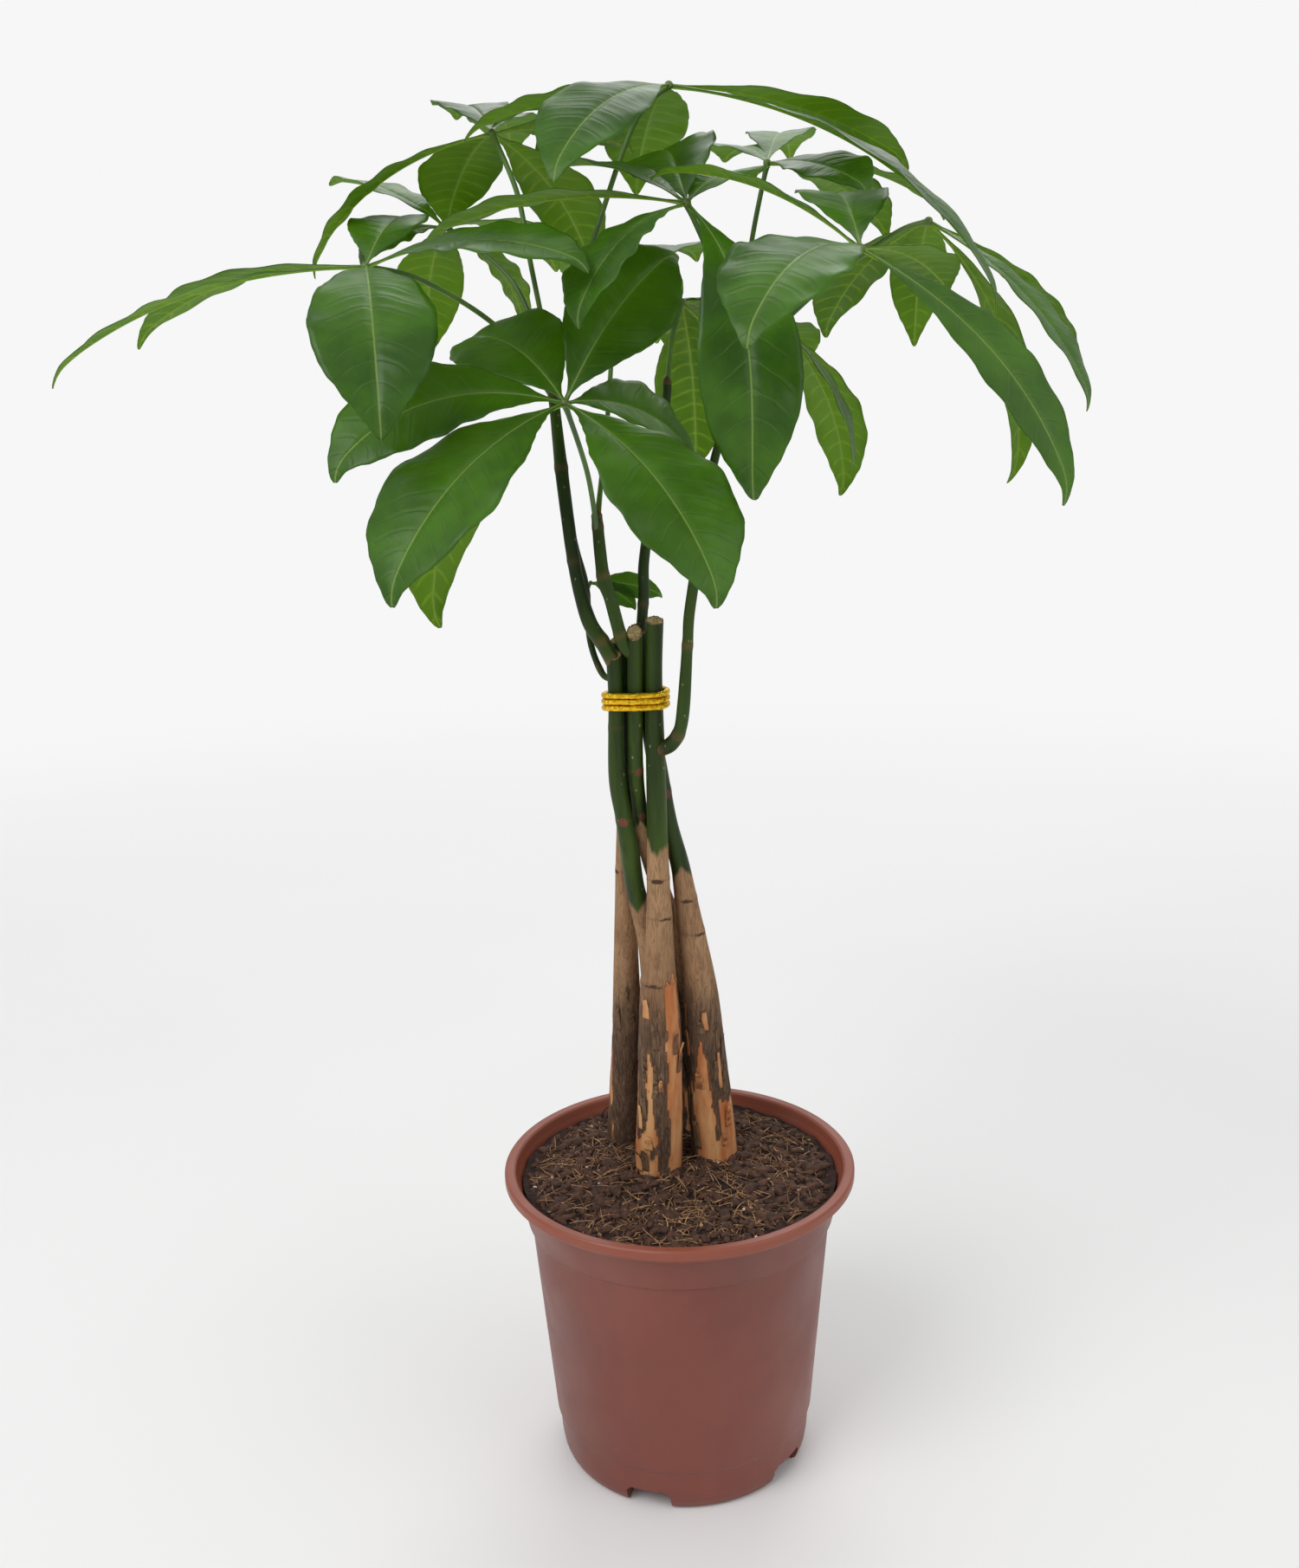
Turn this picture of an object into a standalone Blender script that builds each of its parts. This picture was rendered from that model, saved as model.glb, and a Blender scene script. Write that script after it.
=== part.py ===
"""Potted money tree: a plastic nursery pot, its soil, five bare trunks gathered by a wire tie,
five green shoots and fourteen hand-shaped compound leaves.

Tables are in millimetres with the pot's own axis as zero, and MM turns them into metres.
+X is to the right of the plant's front, +Y is away from the front, and +Z is up.
"""

import math

import bmesh
import bpy
from mathutils import Vector

MM = 0.001
# The pot's axis, placed so that the middle of the whole plant's footprint is the origin.
AXIS = Vector((0.0314, -0.0396, 0.0))
SEAT = 0.3  # clear gap wherever one grown or potted piece sits in another

# ---------------------------------------------------------------- pot and soil
POT_SEGMENTS = 48
RIM_TOP = 152.0
# Half-section (radius, height) up the outside and down the inside.
POT_PROFILE = [
    (0, 8), (50, 8), (51, 0), (57.6, 0), (59.8, 1.6), (61.2, 5), (62.0, 10), (62.8, 21.5),
    (64.0, 23.5), (72.6, 123), (72.9, 125.5), (74.6, 127), (78.4, 143), (81.6, 144.4),
    (82.2, 146.4), (84.4, 146.8), (85, 147.6), (85, 151), (84.2, RIM_TOP), (80.6, RIM_TOP),
    (79.6, 151.2), (78.6, 148), (76.4, 143), (72.8, 128.6), (71.2, 124), (60.2, 11), (0, 10.6),
]
FOOT_NOTCHES = 5
NOTCH_WIDTH, NOTCH_HEIGHT, NOTCH_START = 22.0, 10.0, 252.0
SOIL_SIDE = [(0, 11), (59.8, 11.4), (70.6, 124), (72.2, 129), (75.8, 143), (76.4, 145)]
SOIL_RINGS = [70, 62, 54, 46, 38, 28, 19, 9]
SOIL_LEVEL, MOUND, MOUND_SPREAD, MOUND_AT = 145.0, 6.0, 28.0, (0.0, 18.0)

# ---------------------------------------------------------------- trunks
# Centre line and radius of each trunk, from below the soil to its cut top.
TRUNKS = {
    "trunk_1": [
        (-10, 5, 100, 12), (-10, 2, 145, 12), (-9, -2, 180, 11.5), (-8, -5, 220, 10.5),
        (-8, -8, 250, 8.5), (-7, -10, 275, 6.5), (-7, -12, 295, 5.5), (-7, -13, 315, 5),
        (-7, -14, 355, 4.5), (-7, -14, 395, 4), (-6, -14, 420, 4),
    ],
    "trunk_2": [
        (10, 41, 100, 8.5), (10, 38, 145, 8.5), (9, 28, 210, 7.5), (4, 16, 245, 6),
        (1, 10, 265, 5), (-6, 4, 290, 4.5), (-12.5, -2.5, 315, 4), (-15, -7, 335, 3.5),
        (-16, -12, 355, 3.5), (-15.5, -15, 385, 3.5), (-15, -15, 415, 3.5),
    ],
    "trunk_3": [
        (19, 15, 100, 12.5), (18, 14, 145, 12), (14, 7, 205, 10), (12, 2, 240, 8),
        (9, -1, 265, 6.5), (6, -3, 285, 5.5), (3, -4, 305, 4.5), (-2, -4.5, 325, 4.5),
        (-6, -4.5, 350, 4.5), (-11, -5, 385, 4), (-13, -5, 415, 4),
    ],
    "trunk_4": [
        (-28, 36, 100, 9), (-27, 33, 145, 9), (-24, 22, 205, 8), (-23.5, 17, 240, 6.5),
        (-23, 10, 270, 5.5), (-23, 6, 290, 4.5), (-22, 3, 310, 4.5), (-21, -1, 335, 4),
        (-20, -4, 355, 4), (-20, -5, 385, 4), (-22, -4, 410, 4),
    ],
    "trunk_5": [
        (-8, 43, 100, 8.5), (-8, 40, 145, 8.5), (-8, 26, 200, 7.5), (-11, 8, 255, 6),
        (-15, -1, 280, 5), (-18, -5, 295, 4.5), (-20, -9, 315, 4.5), (-22, -11.5, 330, 4),
        (-24.5, -12, 350, 4), (-24, -13, 385, 3.5), (-24.5, -13, 405, 3.5),
    ],
}
TRUNK_SIDES, TRUNK_STATIONS = 14, 22

# ---------------------------------------------------------------- shoots
# (trunk each one grows from, its centre line and radius)
SHOOTS = {
    "shoot_1": ("trunk_5", [
        (-24, -13, 400, 3.5), (-29, -12, 410, 3.5), (-35, -10, 420, 3.5), (-40, -7, 440, 3),
        (-43, -5, 465, 3), (-45, -2, 485, 3), (-47, 2, 510, 2.5), (-49, 3, 540, 2.5),
    ]),
    "shoot_2": ("trunk_2", [
        (-15, -14.5, 405, 3), (-20, -15, 410, 3), (-25, -15, 430, 3), (-28, -14, 440, 3),
        (-30, -10, 465, 2.5),
    ]),
    "shoot_3": ("trunk_3", [
        (-12.5, -5, 410, 2.5), (-10.5, -4, 430, 2.5), (-10, -3, 445, 2.5), (-5, 4, 475, 2),
        (1, 8, 510, 2), (2, 10, 520, 2),
    ]),
    "shoot_4": ("trunk_1", [
        (-5, -15, 362, 3.5), (0, -18, 365, 3.5), (4, -21, 372, 3), (6, -22, 385, 3),
        (8, -22, 410, 2.5), (10, -22, 430, 2.5), (20, -20, 485, 2), (28, -18, 510, 2),
        (33, -10, 525, 2), (34, -6, 535, 2),
    ]),
    "shoot_5": ("trunk_5", [
        (-25, -13, 394, 1.5), (-30, -8, 396, 1.5), (-35, -2, 410, 1.5), (-36, 0, 433, 1.5),
        (-40, 3, 450, 1.5), (-44, 12, 470, 1),
    ]),
}
SHOOT_SIDES, SHOOT_STATIONS = 10, 14

# ---------------------------------------------------------------- tie
TIE_WIRE, TIE_PITCH, TIE_TURNS, TIE_START = 1.2, 2.8, 3, 380.6
TIE_CLEAR, TIE_TAIL = 0.5, 9.0
TIE_STEPS, TIE_SIDES = 36, 6

# ---------------------------------------------------------------- leaves
# name: (shoot, petiole points with the hub last, leaflets). A leaflet is
# (heading, rise, droop, length, width, roll, turn) in degrees and millimetres.
LEAVES = {
    "leaf_a": ("shoot_2", [(-30, -11, 458), (-33, -25, 485), (-40, -60, 515)], [
        (225, -15, 50, 120, 56, -10, 0), (315, -20, 50, 115, 54, 10, 0),
        (185, 15, 70, 105, 42, -40, 20), (125, 40, 50, 85, 48, -25, 0),
        (45, 55, 30, 90, 44, 45, 0), (35, 5, 70, 80, 38, 40, 0), (140, -15, 80, 140, 48, 0, 0),
    ]),
    "leaf_b": ("shoot_1", [(-47, 2, 515), (-70, 5, 545), (-100, -10, 565), (-120, -30, 570)], [
        (280, -5, 75, 115, 48, 0, 0), (180, 0, 40, 145, 34, -5, 0), (85, 30, 30, 85, 34, 0, 0),
        (155, 5, 40, 130, 30, 0, 0), (330, 15, 40, 110, 38, 20, 0),
    ]),
    "leaf_c": ("shoot_1", [(-49, 3, 536), (-55, 5, 570), (-60, 10, 600), (-70, 15, 625)], [
        (175, -10, 55, 105, 32, -5, 0), (115, -5, 50, 75, 38, 0, 0), (50, -20, 50, 85, 36, -10, 0),
        (105, 25, 30, 95, 34, 0, 0), (20, 10, 35, 65, 30, -10, 0), (90, 20, 40, 125, 34, 0, 0),
    ]),
    "leaf_d": ("shoot_1", [(-48, 2, 530), (-30, 0, 575), (-10, 0, 625), (5, 0, 640)], [
        (240, -5, 45, 105, 40, -15, 0), (175, 0, 25, 90, 36, 0, 0), (100, 0, 50, 95, 38, 0, 0),
        (25, 0, 30, 125, 36, 0, 0), (345, -10, 55, 175, 36, 5, 0), (130, 0, 45, 100, 34, 0, 0),
    ]),
    "leaf_e": ("shoot_4", [(30, -15, 518), (25, -35, 555), (10, -50, 590)], [
        (165, 10, 35, 115, 36, 0, 0), (215, -15, 60, 75, 40, 0, 0), (315, -40, 70, 130, 40, 10, -55),
        (95, 30, 30, 100, 40, -20, 0), (65, 25, 30, 75, 34, 0, 0), (135, 30, 40, 85, 30, 0, 0),
    ]),
    "leaf_f": ("shoot_4", [(32, -12, 522), (55, -50, 555), (75, -75, 570)], [
        (240, 5, 55, 110, 46, -10, 0), (165, 40, 45, 90, 36, 0, 0), (90, 30, 40, 115, 38, 0, 0),
        (345, -30, 45, 130, 30, 35, 0), (50, 5, 40, 70, 32, 0, 0),
    ]),
    "leaf_g": ("shoot_4", [(34, -6, 533), (40, 30, 575), (50, 60, 615)], [
        (310, 0, 35, 65, 38, 15, 0), (40, 0, 45, 90, 36, 0, 0), (15, 5, 45, 95, 34, 10, 0),
        (105, 25, 40, 65, 34, 0, 0), (80, 25, 40, 125, 34, 0, 0),
    ]),
    "leaf_h": ("shoot_4", [(34, -8, 529), (70, 0, 560), (100, 5, 580), (115, 10, 585)], [
        (335, -30, 40, 110, 32, 5, 0), (25, -20, 40, 110, 30, 10, 0), (30, -35, 70, 135, 34, 15, 0),
        (130, -15, 50, 80, 38, 0, 0), (85, -5, 70, 95, 26, 0, 0),
    ]),
    "leaf_i": ("shoot_3", [(2, 10, 518), (5, 30, 540), (10, 45, 555)], [
        (80, -35, 70, 90, 38, 0, 0), (70, 5, 60, 70, 30, 0, 0), (0, -40, 60, 65, 28, 0, 0),
        (95, 10, 60, 70, 34, 0, 0),
    ]),
    "leaf_j": ("shoot_1", [(-48, 3, 524), (-65, 30, 565), (-95, 45, 590)], [
        (150, 35, 35, 70, 36, 0, 0), (205, 0, 50, 45, 32, -15, 0), (25, -25, 60, 60, 36, 0, 0),
        (110, -15, 80, 80, 34, 0, 0), (65, 10, 40, 110, 34, 0, 0),
    ]),
    "leaf_k": ("shoot_4", [(28, -18, 511), (29, -24, 512)], [(280, -45, 35, 30, 14, 0, 0)]),
    "leaf_l": ("shoot_4", [(27, -18, 508), (45, 30, 535), (55, 70, 545)], [
        (40, -35, 60, 100, 36, 0, 0), (345, -40, 50, 80, 26, 0, 0), (80, 5, 60, 80, 34, 0, 0),
    ]),
    "leaf_m": ("shoot_2", [(-30, -10, 463), (-25, 30, 505), (-20, 90, 555), (-10, 120, 570)], [
        (100, 15, 50, 115, 36, 0, 0), (85, 10, 55, 130, 36, 0, 0), (115, 20, 45, 90, 34, 0, 0),
        (70, 25, 40, 100, 34, 0, 0),
    ]),
    "leaf_n": ("shoot_5", [(-36, 0, 430), (-34, 2, 435)], [
        (10, 0, 30, 34, 14, 45, 0), (350, -15, 35, 24, 12, 35, 0),
    ]),
}
PETIOLE_RADIUS, HUB_RADIUS = 1.5, 2.7
SMALL_LEAVES = {"leaf_k": 0.5, "leaf_n": 0.5}  # the share of petiole and hub that young leaves have
BLADE_THICK = 1.3
KEEL = 0.12  # how far a leaflet's edges stand above its midrib, as a share of its half-width
DROOP_POWER = 1.3
# Share of the full width at each share of the length.
BLADE_OUTLINE = [
    (0.0, 0.05), (0.08, 0.08), (0.2, 0.42), (0.35, 0.80), (0.52, 1.0), (0.68, 0.95),
    (0.80, 0.74), (0.90, 0.42), (0.96, 0.14), (1.0, 0.03),
]

COLOURS = {
    "terracotta_plastic": (0.25, 0.085, 0.062, 1), "potting_soil": (0.045, 0.025, 0.014, 1),
    "bark": (0.16, 0.10, 0.06, 1), "green_stem": (0.05, 0.10, 0.03, 1),
    "gold_tie": (0.75, 0.50, 0.03, 1), "leaf": (0.04, 0.13, 0.02, 1),
}


def clear_scene():
    for obj in list(bpy.data.objects):
        bpy.data.objects.remove(obj, do_unlink=True)


def new_collection(name):
    made = bpy.data.collections.new(name)
    bpy.context.scene.collection.children.link(made)
    return made


def material(name, rgba, roughness=0.6):
    made = bpy.data.materials.new(name)
    made.use_nodes = True
    shader = made.node_tree.nodes["Principled BSDF"]
    shader.inputs["Base Color"].default_value = rgba
    shader.inputs["Roughness"].default_value = roughness
    made.diffuse_color = rgba
    return made


def placed(point):
    """A table's point, in metres from the model's origin."""
    return Vector(point[:3]) * MM + AXIS


def mesh_object(name, points, faces, into, finish):
    """A closed mesh from points in table millimetres, its faces turned outward."""
    mesh = bpy.data.meshes.new(name)
    mesh.from_pydata([placed(p) for p in points], [], faces)
    work = bmesh.new()
    work.from_mesh(mesh)
    bmesh.ops.recalc_face_normals(work, faces=work.faces)
    work.to_mesh(mesh)
    work.free()
    mesh.materials.append(finish)
    made = bpy.data.objects.new(name, mesh)
    into.objects.link(made)
    return made


def boolean(target, other, operation):
    step = target.modifiers.new(f"{operation.title()} {other.name}", "BOOLEAN")
    step.operation = operation
    step.solver = "EXACT"
    step.use_self = True
    step.object = other


def helper(obj):
    obj.hide_render = True
    obj.display_type = "WIRE"
    return obj


def smooth_path(knots, stations):
    """Even samples of the Catmull-Rom curve through the knots, which may carry a radius."""
    ends = [knots[0], *knots, knots[-1]]
    samples = []
    for i in range(stations + 1):
        at = i / stations * (len(knots) - 1)
        k = min(int(at), len(knots) - 2)
        t = at - k
        a, b, c, d = ends[k : k + 4]
        samples.append(tuple(
            0.5 * (2 * q + (r - p) * t + (2 * p - 5 * q + 4 * r - s) * t**2
                   + (3 * q - p - 3 * r + s) * t**3)
            for p, q, r, s in zip(a, b, c, d)
        ))
    return samples


def rings_to_mesh(rings):
    """Points and faces of a closed skin over rings of one count, capped at both ends."""
    sides = len(rings[0])
    points = [p for ring in rings for p in ring]
    faces = [tuple(range(sides))[::-1], tuple(range(len(points) - sides, len(points)))]
    for i in range(len(rings) - 1):
        for j in range(sides):
            a, b = i * sides + j, i * sides + (j + 1) % sides
            faces.append((a, b, b + sides, a + sides))
    return points, faces


def tube_rings(path, sides, extra=0.0):
    """Rings round a path of (x, y, z, radius), turned as little as the path allows."""
    spots = [Vector(p[:3]) for p in path]
    side = None
    rings = []
    for i, spot in enumerate(spots):
        along = (spots[min(i + 1, len(spots) - 1)] - spots[max(i - 1, 0)]).normalized()
        if side is None:
            side = along.cross(Vector((0, 1, 0))).normalized()
        side = (side - along * side.dot(along)).normalized()
        other = along.cross(side)
        if i in (0, len(spots) - 1):  # a seat also reaches past the end of what sits in it
            spot = spot + along * (extra if i else -extra)
        radius = path[i][3] + extra
        rings.append([
            spot + side * radius * math.cos(turn) + other * radius * math.sin(turn)
            for turn in (2 * math.pi * j / sides for j in range(sides))
        ])
    return rings


def tube(name, knots, stations, sides, into, finish, extra=0.0):
    rings = tube_rings(smooth_path(knots, stations), sides, extra)
    return mesh_object(name, *rings_to_mesh(rings), into, finish)


def lathe(name, profile, segments, into, finish, height=None):
    """The profile turned about the pot's axis. Its first and last points lie on the axis."""
    inner = profile[1:-1]
    points = [(0, 0, profile[0][1]), (0, 0, profile[-1][1])]
    for turn in (2 * math.pi * j / segments for j in range(segments)):
        for radius, z in inner:
            x, y = radius * math.cos(turn), radius * math.sin(turn)
            points.append((x, y, height(x, y, z) if height else z))
    rows, faces = len(inner), []
    for j in range(segments):
        here, there = 2 + j * rows, 2 + (j + 1) % segments * rows
        faces.append((0, there, here))
        faces.append((1, here + rows - 1, there + rows - 1))
        faces += [(here + k, there + k, there + k + 1, here + k + 1) for k in range(rows - 1)]
    return mesh_object(name, points, faces, into, finish)


def make_pot(parts, helpers, finish):
    pot = lathe("pot", POT_PROFILE, POT_SEGMENTS, parts, finish)
    for k in range(FOOT_NOTCHES):
        turn = math.radians(NOTCH_START + 360 / FOOT_NOTCHES * k)
        out, side = Vector((math.cos(turn), math.sin(turn), 0)), Vector((-math.sin(turn), math.cos(turn), 0))
        rings = [
            [out * 47 + side * w * NOTCH_WIDTH / 2 + Vector((0, 0, z)) for w, z in
             ((-1, -2), (1, -2), (1, NOTCH_HEIGHT), (-1, NOTCH_HEIGHT))],
        ]
        rings.append([p + out * 22 for p in rings[0]])
        cutter = mesh_object(f"notch_{k + 1}", *rings_to_mesh(rings), helpers, finish)
        boolean(pot, helper(cutter), "DIFFERENCE")


def soil_height(x, y, z):
    """The soil's top: a low mound about the trunks, with small lumps."""
    if z < SOIL_LEVEL:
        return z
    away = math.hypot(x - MOUND_AT[0], y - MOUND_AT[1])
    lumps = 0.5 * math.sin(0.21 * x + 1.0) * math.cos(0.17 * y) + 0.35 * math.sin(0.39 * y + 0.3 * x)
    return z + MOUND * math.exp(-0.5 * (away / MOUND_SPREAD) ** 2) + lumps


def make_soil(parts, helpers, finish):
    profile = SOIL_SIDE + [(r, SOIL_LEVEL) for r in SOIL_RINGS]
    middle = soil_height(0, 0, SOIL_LEVEL)
    soil = lathe("soil", [*profile, (0, middle)], 40, parts, finish, soil_height)
    for name, knots in TRUNKS.items():
        seat = tube(f"seat_{name}", knots, TRUNK_STATIONS, TRUNK_SIDES, helpers, finish, SEAT)
        boolean(soil, helper(seat), "DIFFERENCE")


def make_shoots(parts, helpers, finish):
    for name, (trunk, knots) in SHOOTS.items():
        shoot = tube(name, knots, SHOOT_STATIONS, SHOOT_SIDES, parts, finish)
        boolean(shoot, helpers.objects[f"seat_{trunk}"], "DIFFERENCE")
        seat = tube(f"seat_{name}", knots, SHOOT_STATIONS, SHOOT_SIDES, helpers, finish, SEAT)
        helper(seat)


def make_tie(parts, finish):
    """One wire wound round the gathered trunks, pulled straight from trunk to trunk."""
    waist = []
    for knots in TRUNKS.values():
        path = smooth_path(knots, 200)
        waist.append(min(path, key=lambda p: abs(p[2] - TIE_START - TIE_PITCH * 1.5)))
    path = []
    for i in range(TIE_STEPS * TIE_TURNS + 1):
        turn = math.radians(90) + 2 * math.pi * i / TIE_STEPS
        out = Vector((math.cos(turn), math.sin(turn), 0))
        held = max(waist, key=lambda p: p[0] * out.x + p[1] * out.y + p[3])
        spot = Vector(held[:3]) + out * (held[3] + TIE_CLEAR + TIE_WIRE)
        path.append((spot.x, spot.y, TIE_START + TIE_PITCH * i / TIE_STEPS, TIE_WIRE))
    first, last = path[0], path[-1]
    tail_in = (first[0] + 3, first[1] + TIE_TAIL, first[2] - 3, TIE_WIRE)
    tail_out = (last[0] - 3, last[1] + TIE_TAIL, last[2] + 3, TIE_WIRE)
    rings = tube_rings([tail_in, *path, tail_out], TIE_SIDES)
    mesh_object("wire_tie", *rings_to_mesh(rings), parts, finish)


def leaflet_rings(hub, heading, rise, droop, length, width, roll, turn):
    """Four-point rings along a leaflet that leaves the hub, droops, and turns as it goes."""
    steps, spot, spots = 48, Vector(hub), []
    for i in range(steps + 1):
        share = min((i + 0.5) / steps, 1.0)
        bearing = math.radians(heading + turn * share)
        pitch = math.radians(rise - droop * share**DROOP_POWER)
        flat = Vector((math.cos(bearing), math.sin(bearing), 0))
        along = flat * math.cos(pitch) + Vector((0, 0, math.sin(pitch)))
        spots.append((spot.copy(), along, Vector((-flat.y, flat.x, 0))))
        spot += along * length / steps
    rings = []
    tilt = math.radians(roll)
    for share, wide in BLADE_OUTLINE:
        at, along, level = spots[round(share * steps)]
        up = along.cross(level)
        across = level * math.cos(tilt) + up * math.sin(tilt)
        normal = up * math.cos(tilt) - level * math.sin(tilt)
        half = wide * width / 2
        thick = normal * BLADE_THICK / 2 * (1 if share < 0.9 else 0.6)
        lift = normal * KEEL * half
        rings.append([at + across * half + lift, at + thick, at - across * half + lift, at - thick])
    return rings


def make_leaf(name, shoot, petiole, leaflets, parts, helpers, finish):
    share = SMALL_LEAVES.get(name, 1.0)
    knots = [(*p, PETIOLE_RADIUS * share) for p in petiole]
    leaf = tube(name, knots, 4 * (len(knots) - 1), 8, parts, finish)
    hub = petiole[-1]
    size = HUB_RADIUS * share
    ball = [(*hub[:2], hub[2] + size * dz, size * r)
            for dz, r in ((-1, 0.3), (-0.6, 0.8), (0, 1.0), (0.6, 0.8), (1, 0.3))]
    pieces = [mesh_object(f"hub_{name}", *rings_to_mesh(tube_rings(ball, 8)), helpers, finish)]
    for i, leaflet in enumerate(leaflets):
        rings = leaflet_rings(hub, *leaflet)
        pieces.append(mesh_object(f"{name}_{i + 1}", *rings_to_mesh(rings), helpers, finish))
    for piece in pieces:
        boolean(leaf, helper(piece), "UNION")
    boolean(leaf, helpers.objects[f"seat_{shoot}"], "DIFFERENCE")


def main():
    clear_scene()
    parts = new_collection("potted_money_tree")
    helpers = new_collection("cutters")
    helpers.hide_render = True
    finish = {name: material(name, rgba) for name, rgba in COLOURS.items()}
    make_pot(parts, helpers, finish["terracotta_plastic"])
    for name, knots in TRUNKS.items():
        tube(name, knots, TRUNK_STATIONS, TRUNK_SIDES, parts, finish["bark"])
    make_soil(parts, helpers, finish["potting_soil"])
    make_shoots(parts, helpers, finish["green_stem"])
    make_tie(parts, finish["gold_tie"])
    for name, (shoot, petiole, leaflets) in LEAVES.items():
        make_leaf(name, shoot, petiole, leaflets, parts, helpers, finish["leaf"])


main()
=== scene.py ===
"""Looks of the potted money tree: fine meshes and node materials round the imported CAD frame.

Plant tables are in millimetres from the pot's axis, as in the part's own source; AXIS and MM turn
them into the frame's metres. +X is right, -Y is the plant's front and +Z is up.
"""

import math
import random

import bmesh
import bpy
import numpy as np
from mathutils import Matrix, Vector, noise


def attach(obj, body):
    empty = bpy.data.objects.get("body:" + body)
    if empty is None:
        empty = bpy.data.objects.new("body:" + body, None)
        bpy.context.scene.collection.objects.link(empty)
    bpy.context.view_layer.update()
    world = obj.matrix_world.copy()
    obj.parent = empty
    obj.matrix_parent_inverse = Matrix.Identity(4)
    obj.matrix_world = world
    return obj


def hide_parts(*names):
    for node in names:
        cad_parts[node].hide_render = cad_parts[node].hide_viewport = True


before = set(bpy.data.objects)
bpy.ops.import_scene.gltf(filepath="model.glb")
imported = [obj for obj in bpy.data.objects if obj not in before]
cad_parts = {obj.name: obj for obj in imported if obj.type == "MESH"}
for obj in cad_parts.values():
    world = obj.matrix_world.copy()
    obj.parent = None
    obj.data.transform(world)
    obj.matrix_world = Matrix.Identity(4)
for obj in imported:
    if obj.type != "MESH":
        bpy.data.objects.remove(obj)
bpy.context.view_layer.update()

MM = 0.001
AXIS = Vector((0.0314, -0.0396, 0.0))
rng = random.Random(11)

# -------- the plant's tables
TRUNKS = {
    "trunk_1": [
        (-10, 5, 100, 12), (-10, 2, 145, 12), (-9, -2, 180, 11.5), (-8, -5, 220, 10.5),
        (-8, -8, 250, 8.5), (-7, -10, 275, 6.5), (-7, -12, 295, 5.5), (-7, -13, 315, 5),
        (-7, -14, 355, 4.5), (-7, -14, 395, 4), (-6, -14, 420, 4),
    ],
    "trunk_2": [
        (10, 41, 100, 8.5), (10, 38, 145, 8.5), (9, 28, 210, 7.5), (4, 16, 245, 6),
        (1, 10, 265, 5), (-6, 4, 290, 4.5), (-12.5, -2.5, 315, 4), (-15, -7, 335, 3.5),
        (-16, -12, 355, 3.5), (-15.5, -15, 385, 3.5), (-15, -15, 415, 3.5),
    ],
    "trunk_3": [
        (19, 15, 100, 12.5), (18, 14, 145, 12), (14, 7, 205, 10), (12, 2, 240, 8),
        (9, -1, 265, 6.5), (6, -3, 285, 5.5), (3, -4, 305, 4.5), (-2, -4.5, 325, 4.5),
        (-6, -4.5, 350, 4.5), (-11, -5, 385, 4), (-13, -5, 415, 4),
    ],
    "trunk_4": [
        (-28, 36, 100, 9), (-27, 33, 145, 9), (-24, 22, 205, 8), (-23.5, 17, 240, 6.5),
        (-23, 10, 270, 5.5), (-23, 6, 290, 4.5), (-22, 3, 310, 4.5), (-21, -1, 335, 4),
        (-20, -4, 355, 4), (-20, -5, 385, 4), (-22, -4, 410, 4),
    ],
    "trunk_5": [
        (-8, 43, 100, 8.5), (-8, 40, 145, 8.5), (-8, 26, 200, 7.5), (-11, 8, 255, 6),
        (-15, -1, 280, 5), (-18, -5, 295, 4.5), (-20, -9, 315, 4.5), (-22, -11.5, 330, 4),
        (-24.5, -12, 350, 4), (-24, -13, 385, 3.5), (-24.5, -13, 405, 3.5),
    ],
}
# Height at which each trunk turns from brown bark to green skin, and its leaf scars
# (height, bearing in degrees, how tall the mark is).
BARK_TOP = {"trunk_1": 318, "trunk_2": 326, "trunk_3": 298, "trunk_4": 318, "trunk_5": 288}
SCARS = {
    "trunk_1": [(301, 262, 1.5), (282, 300, 0.8), (249, 250, 0.9), (362, 330, 2.2)],
    "trunk_2": [(352, 300, 2.4), (330, 290, 2.0)],
    "trunk_3": [(340, 300, 2.6), (288, 275, 1.0), (271, 310, 0.8)],
    "trunk_4": [(344, 150, 2.2), (300, 200, 1.2)],
    "trunk_5": [(329, 262, 2.6), (372, 60, 2.0)],
}
SHOOTS = {
    "shoot_1": [
        (-24, -13, 400, 3.5), (-29, -12, 410, 3.5), (-35, -10, 420, 3.5), (-40, -7, 440, 3),
        (-43, -5, 465, 3), (-45, -2, 485, 3), (-47, 2, 510, 2.5), (-49, 3, 540, 2.5),
    ],
    "shoot_2": [
        (-15, -14.5, 405, 3), (-20, -15, 410, 3), (-25, -15, 430, 3), (-28, -14, 440, 3),
        (-30, -10, 465, 2.5),
    ],
    "shoot_3": [
        (-12.5, -5, 410, 2.5), (-10.5, -4, 430, 2.5), (-10, -3, 445, 2.5), (-5, 4, 475, 2),
        (1, 8, 510, 2), (2, 10, 520, 2),
    ],
    "shoot_4": [
        (-5, -15, 362, 3.5), (0, -18, 365, 3.5), (4, -21, 372, 3), (6, -22, 385, 3),
        (8, -22, 410, 2.5), (10, -22, 430, 2.5), (20, -20, 485, 2), (28, -18, 510, 2),
        (33, -10, 525, 2), (34, -6, 535, 2),
    ],
    "shoot_5": [
        (-25, -13, 394, 1.5), (-30, -8, 396, 1.5), (-35, -2, 410, 1.5), (-36, 0, 433, 1.5),
        (-40, 3, 450, 1.5), (-44, 12, 470, 1),
    ],
}
SHOOT_NODES = {  # heights of the swollen rings along each shoot
    "shoot_1": [411, 446, 486, 517, 532], "shoot_2": [414, 440, 461], "shoot_3": [426, 470, 508],
    "shoot_4": [370, 410, 452, 508, 522, 531], "shoot_5": [398, 430, 460],
}
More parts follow.
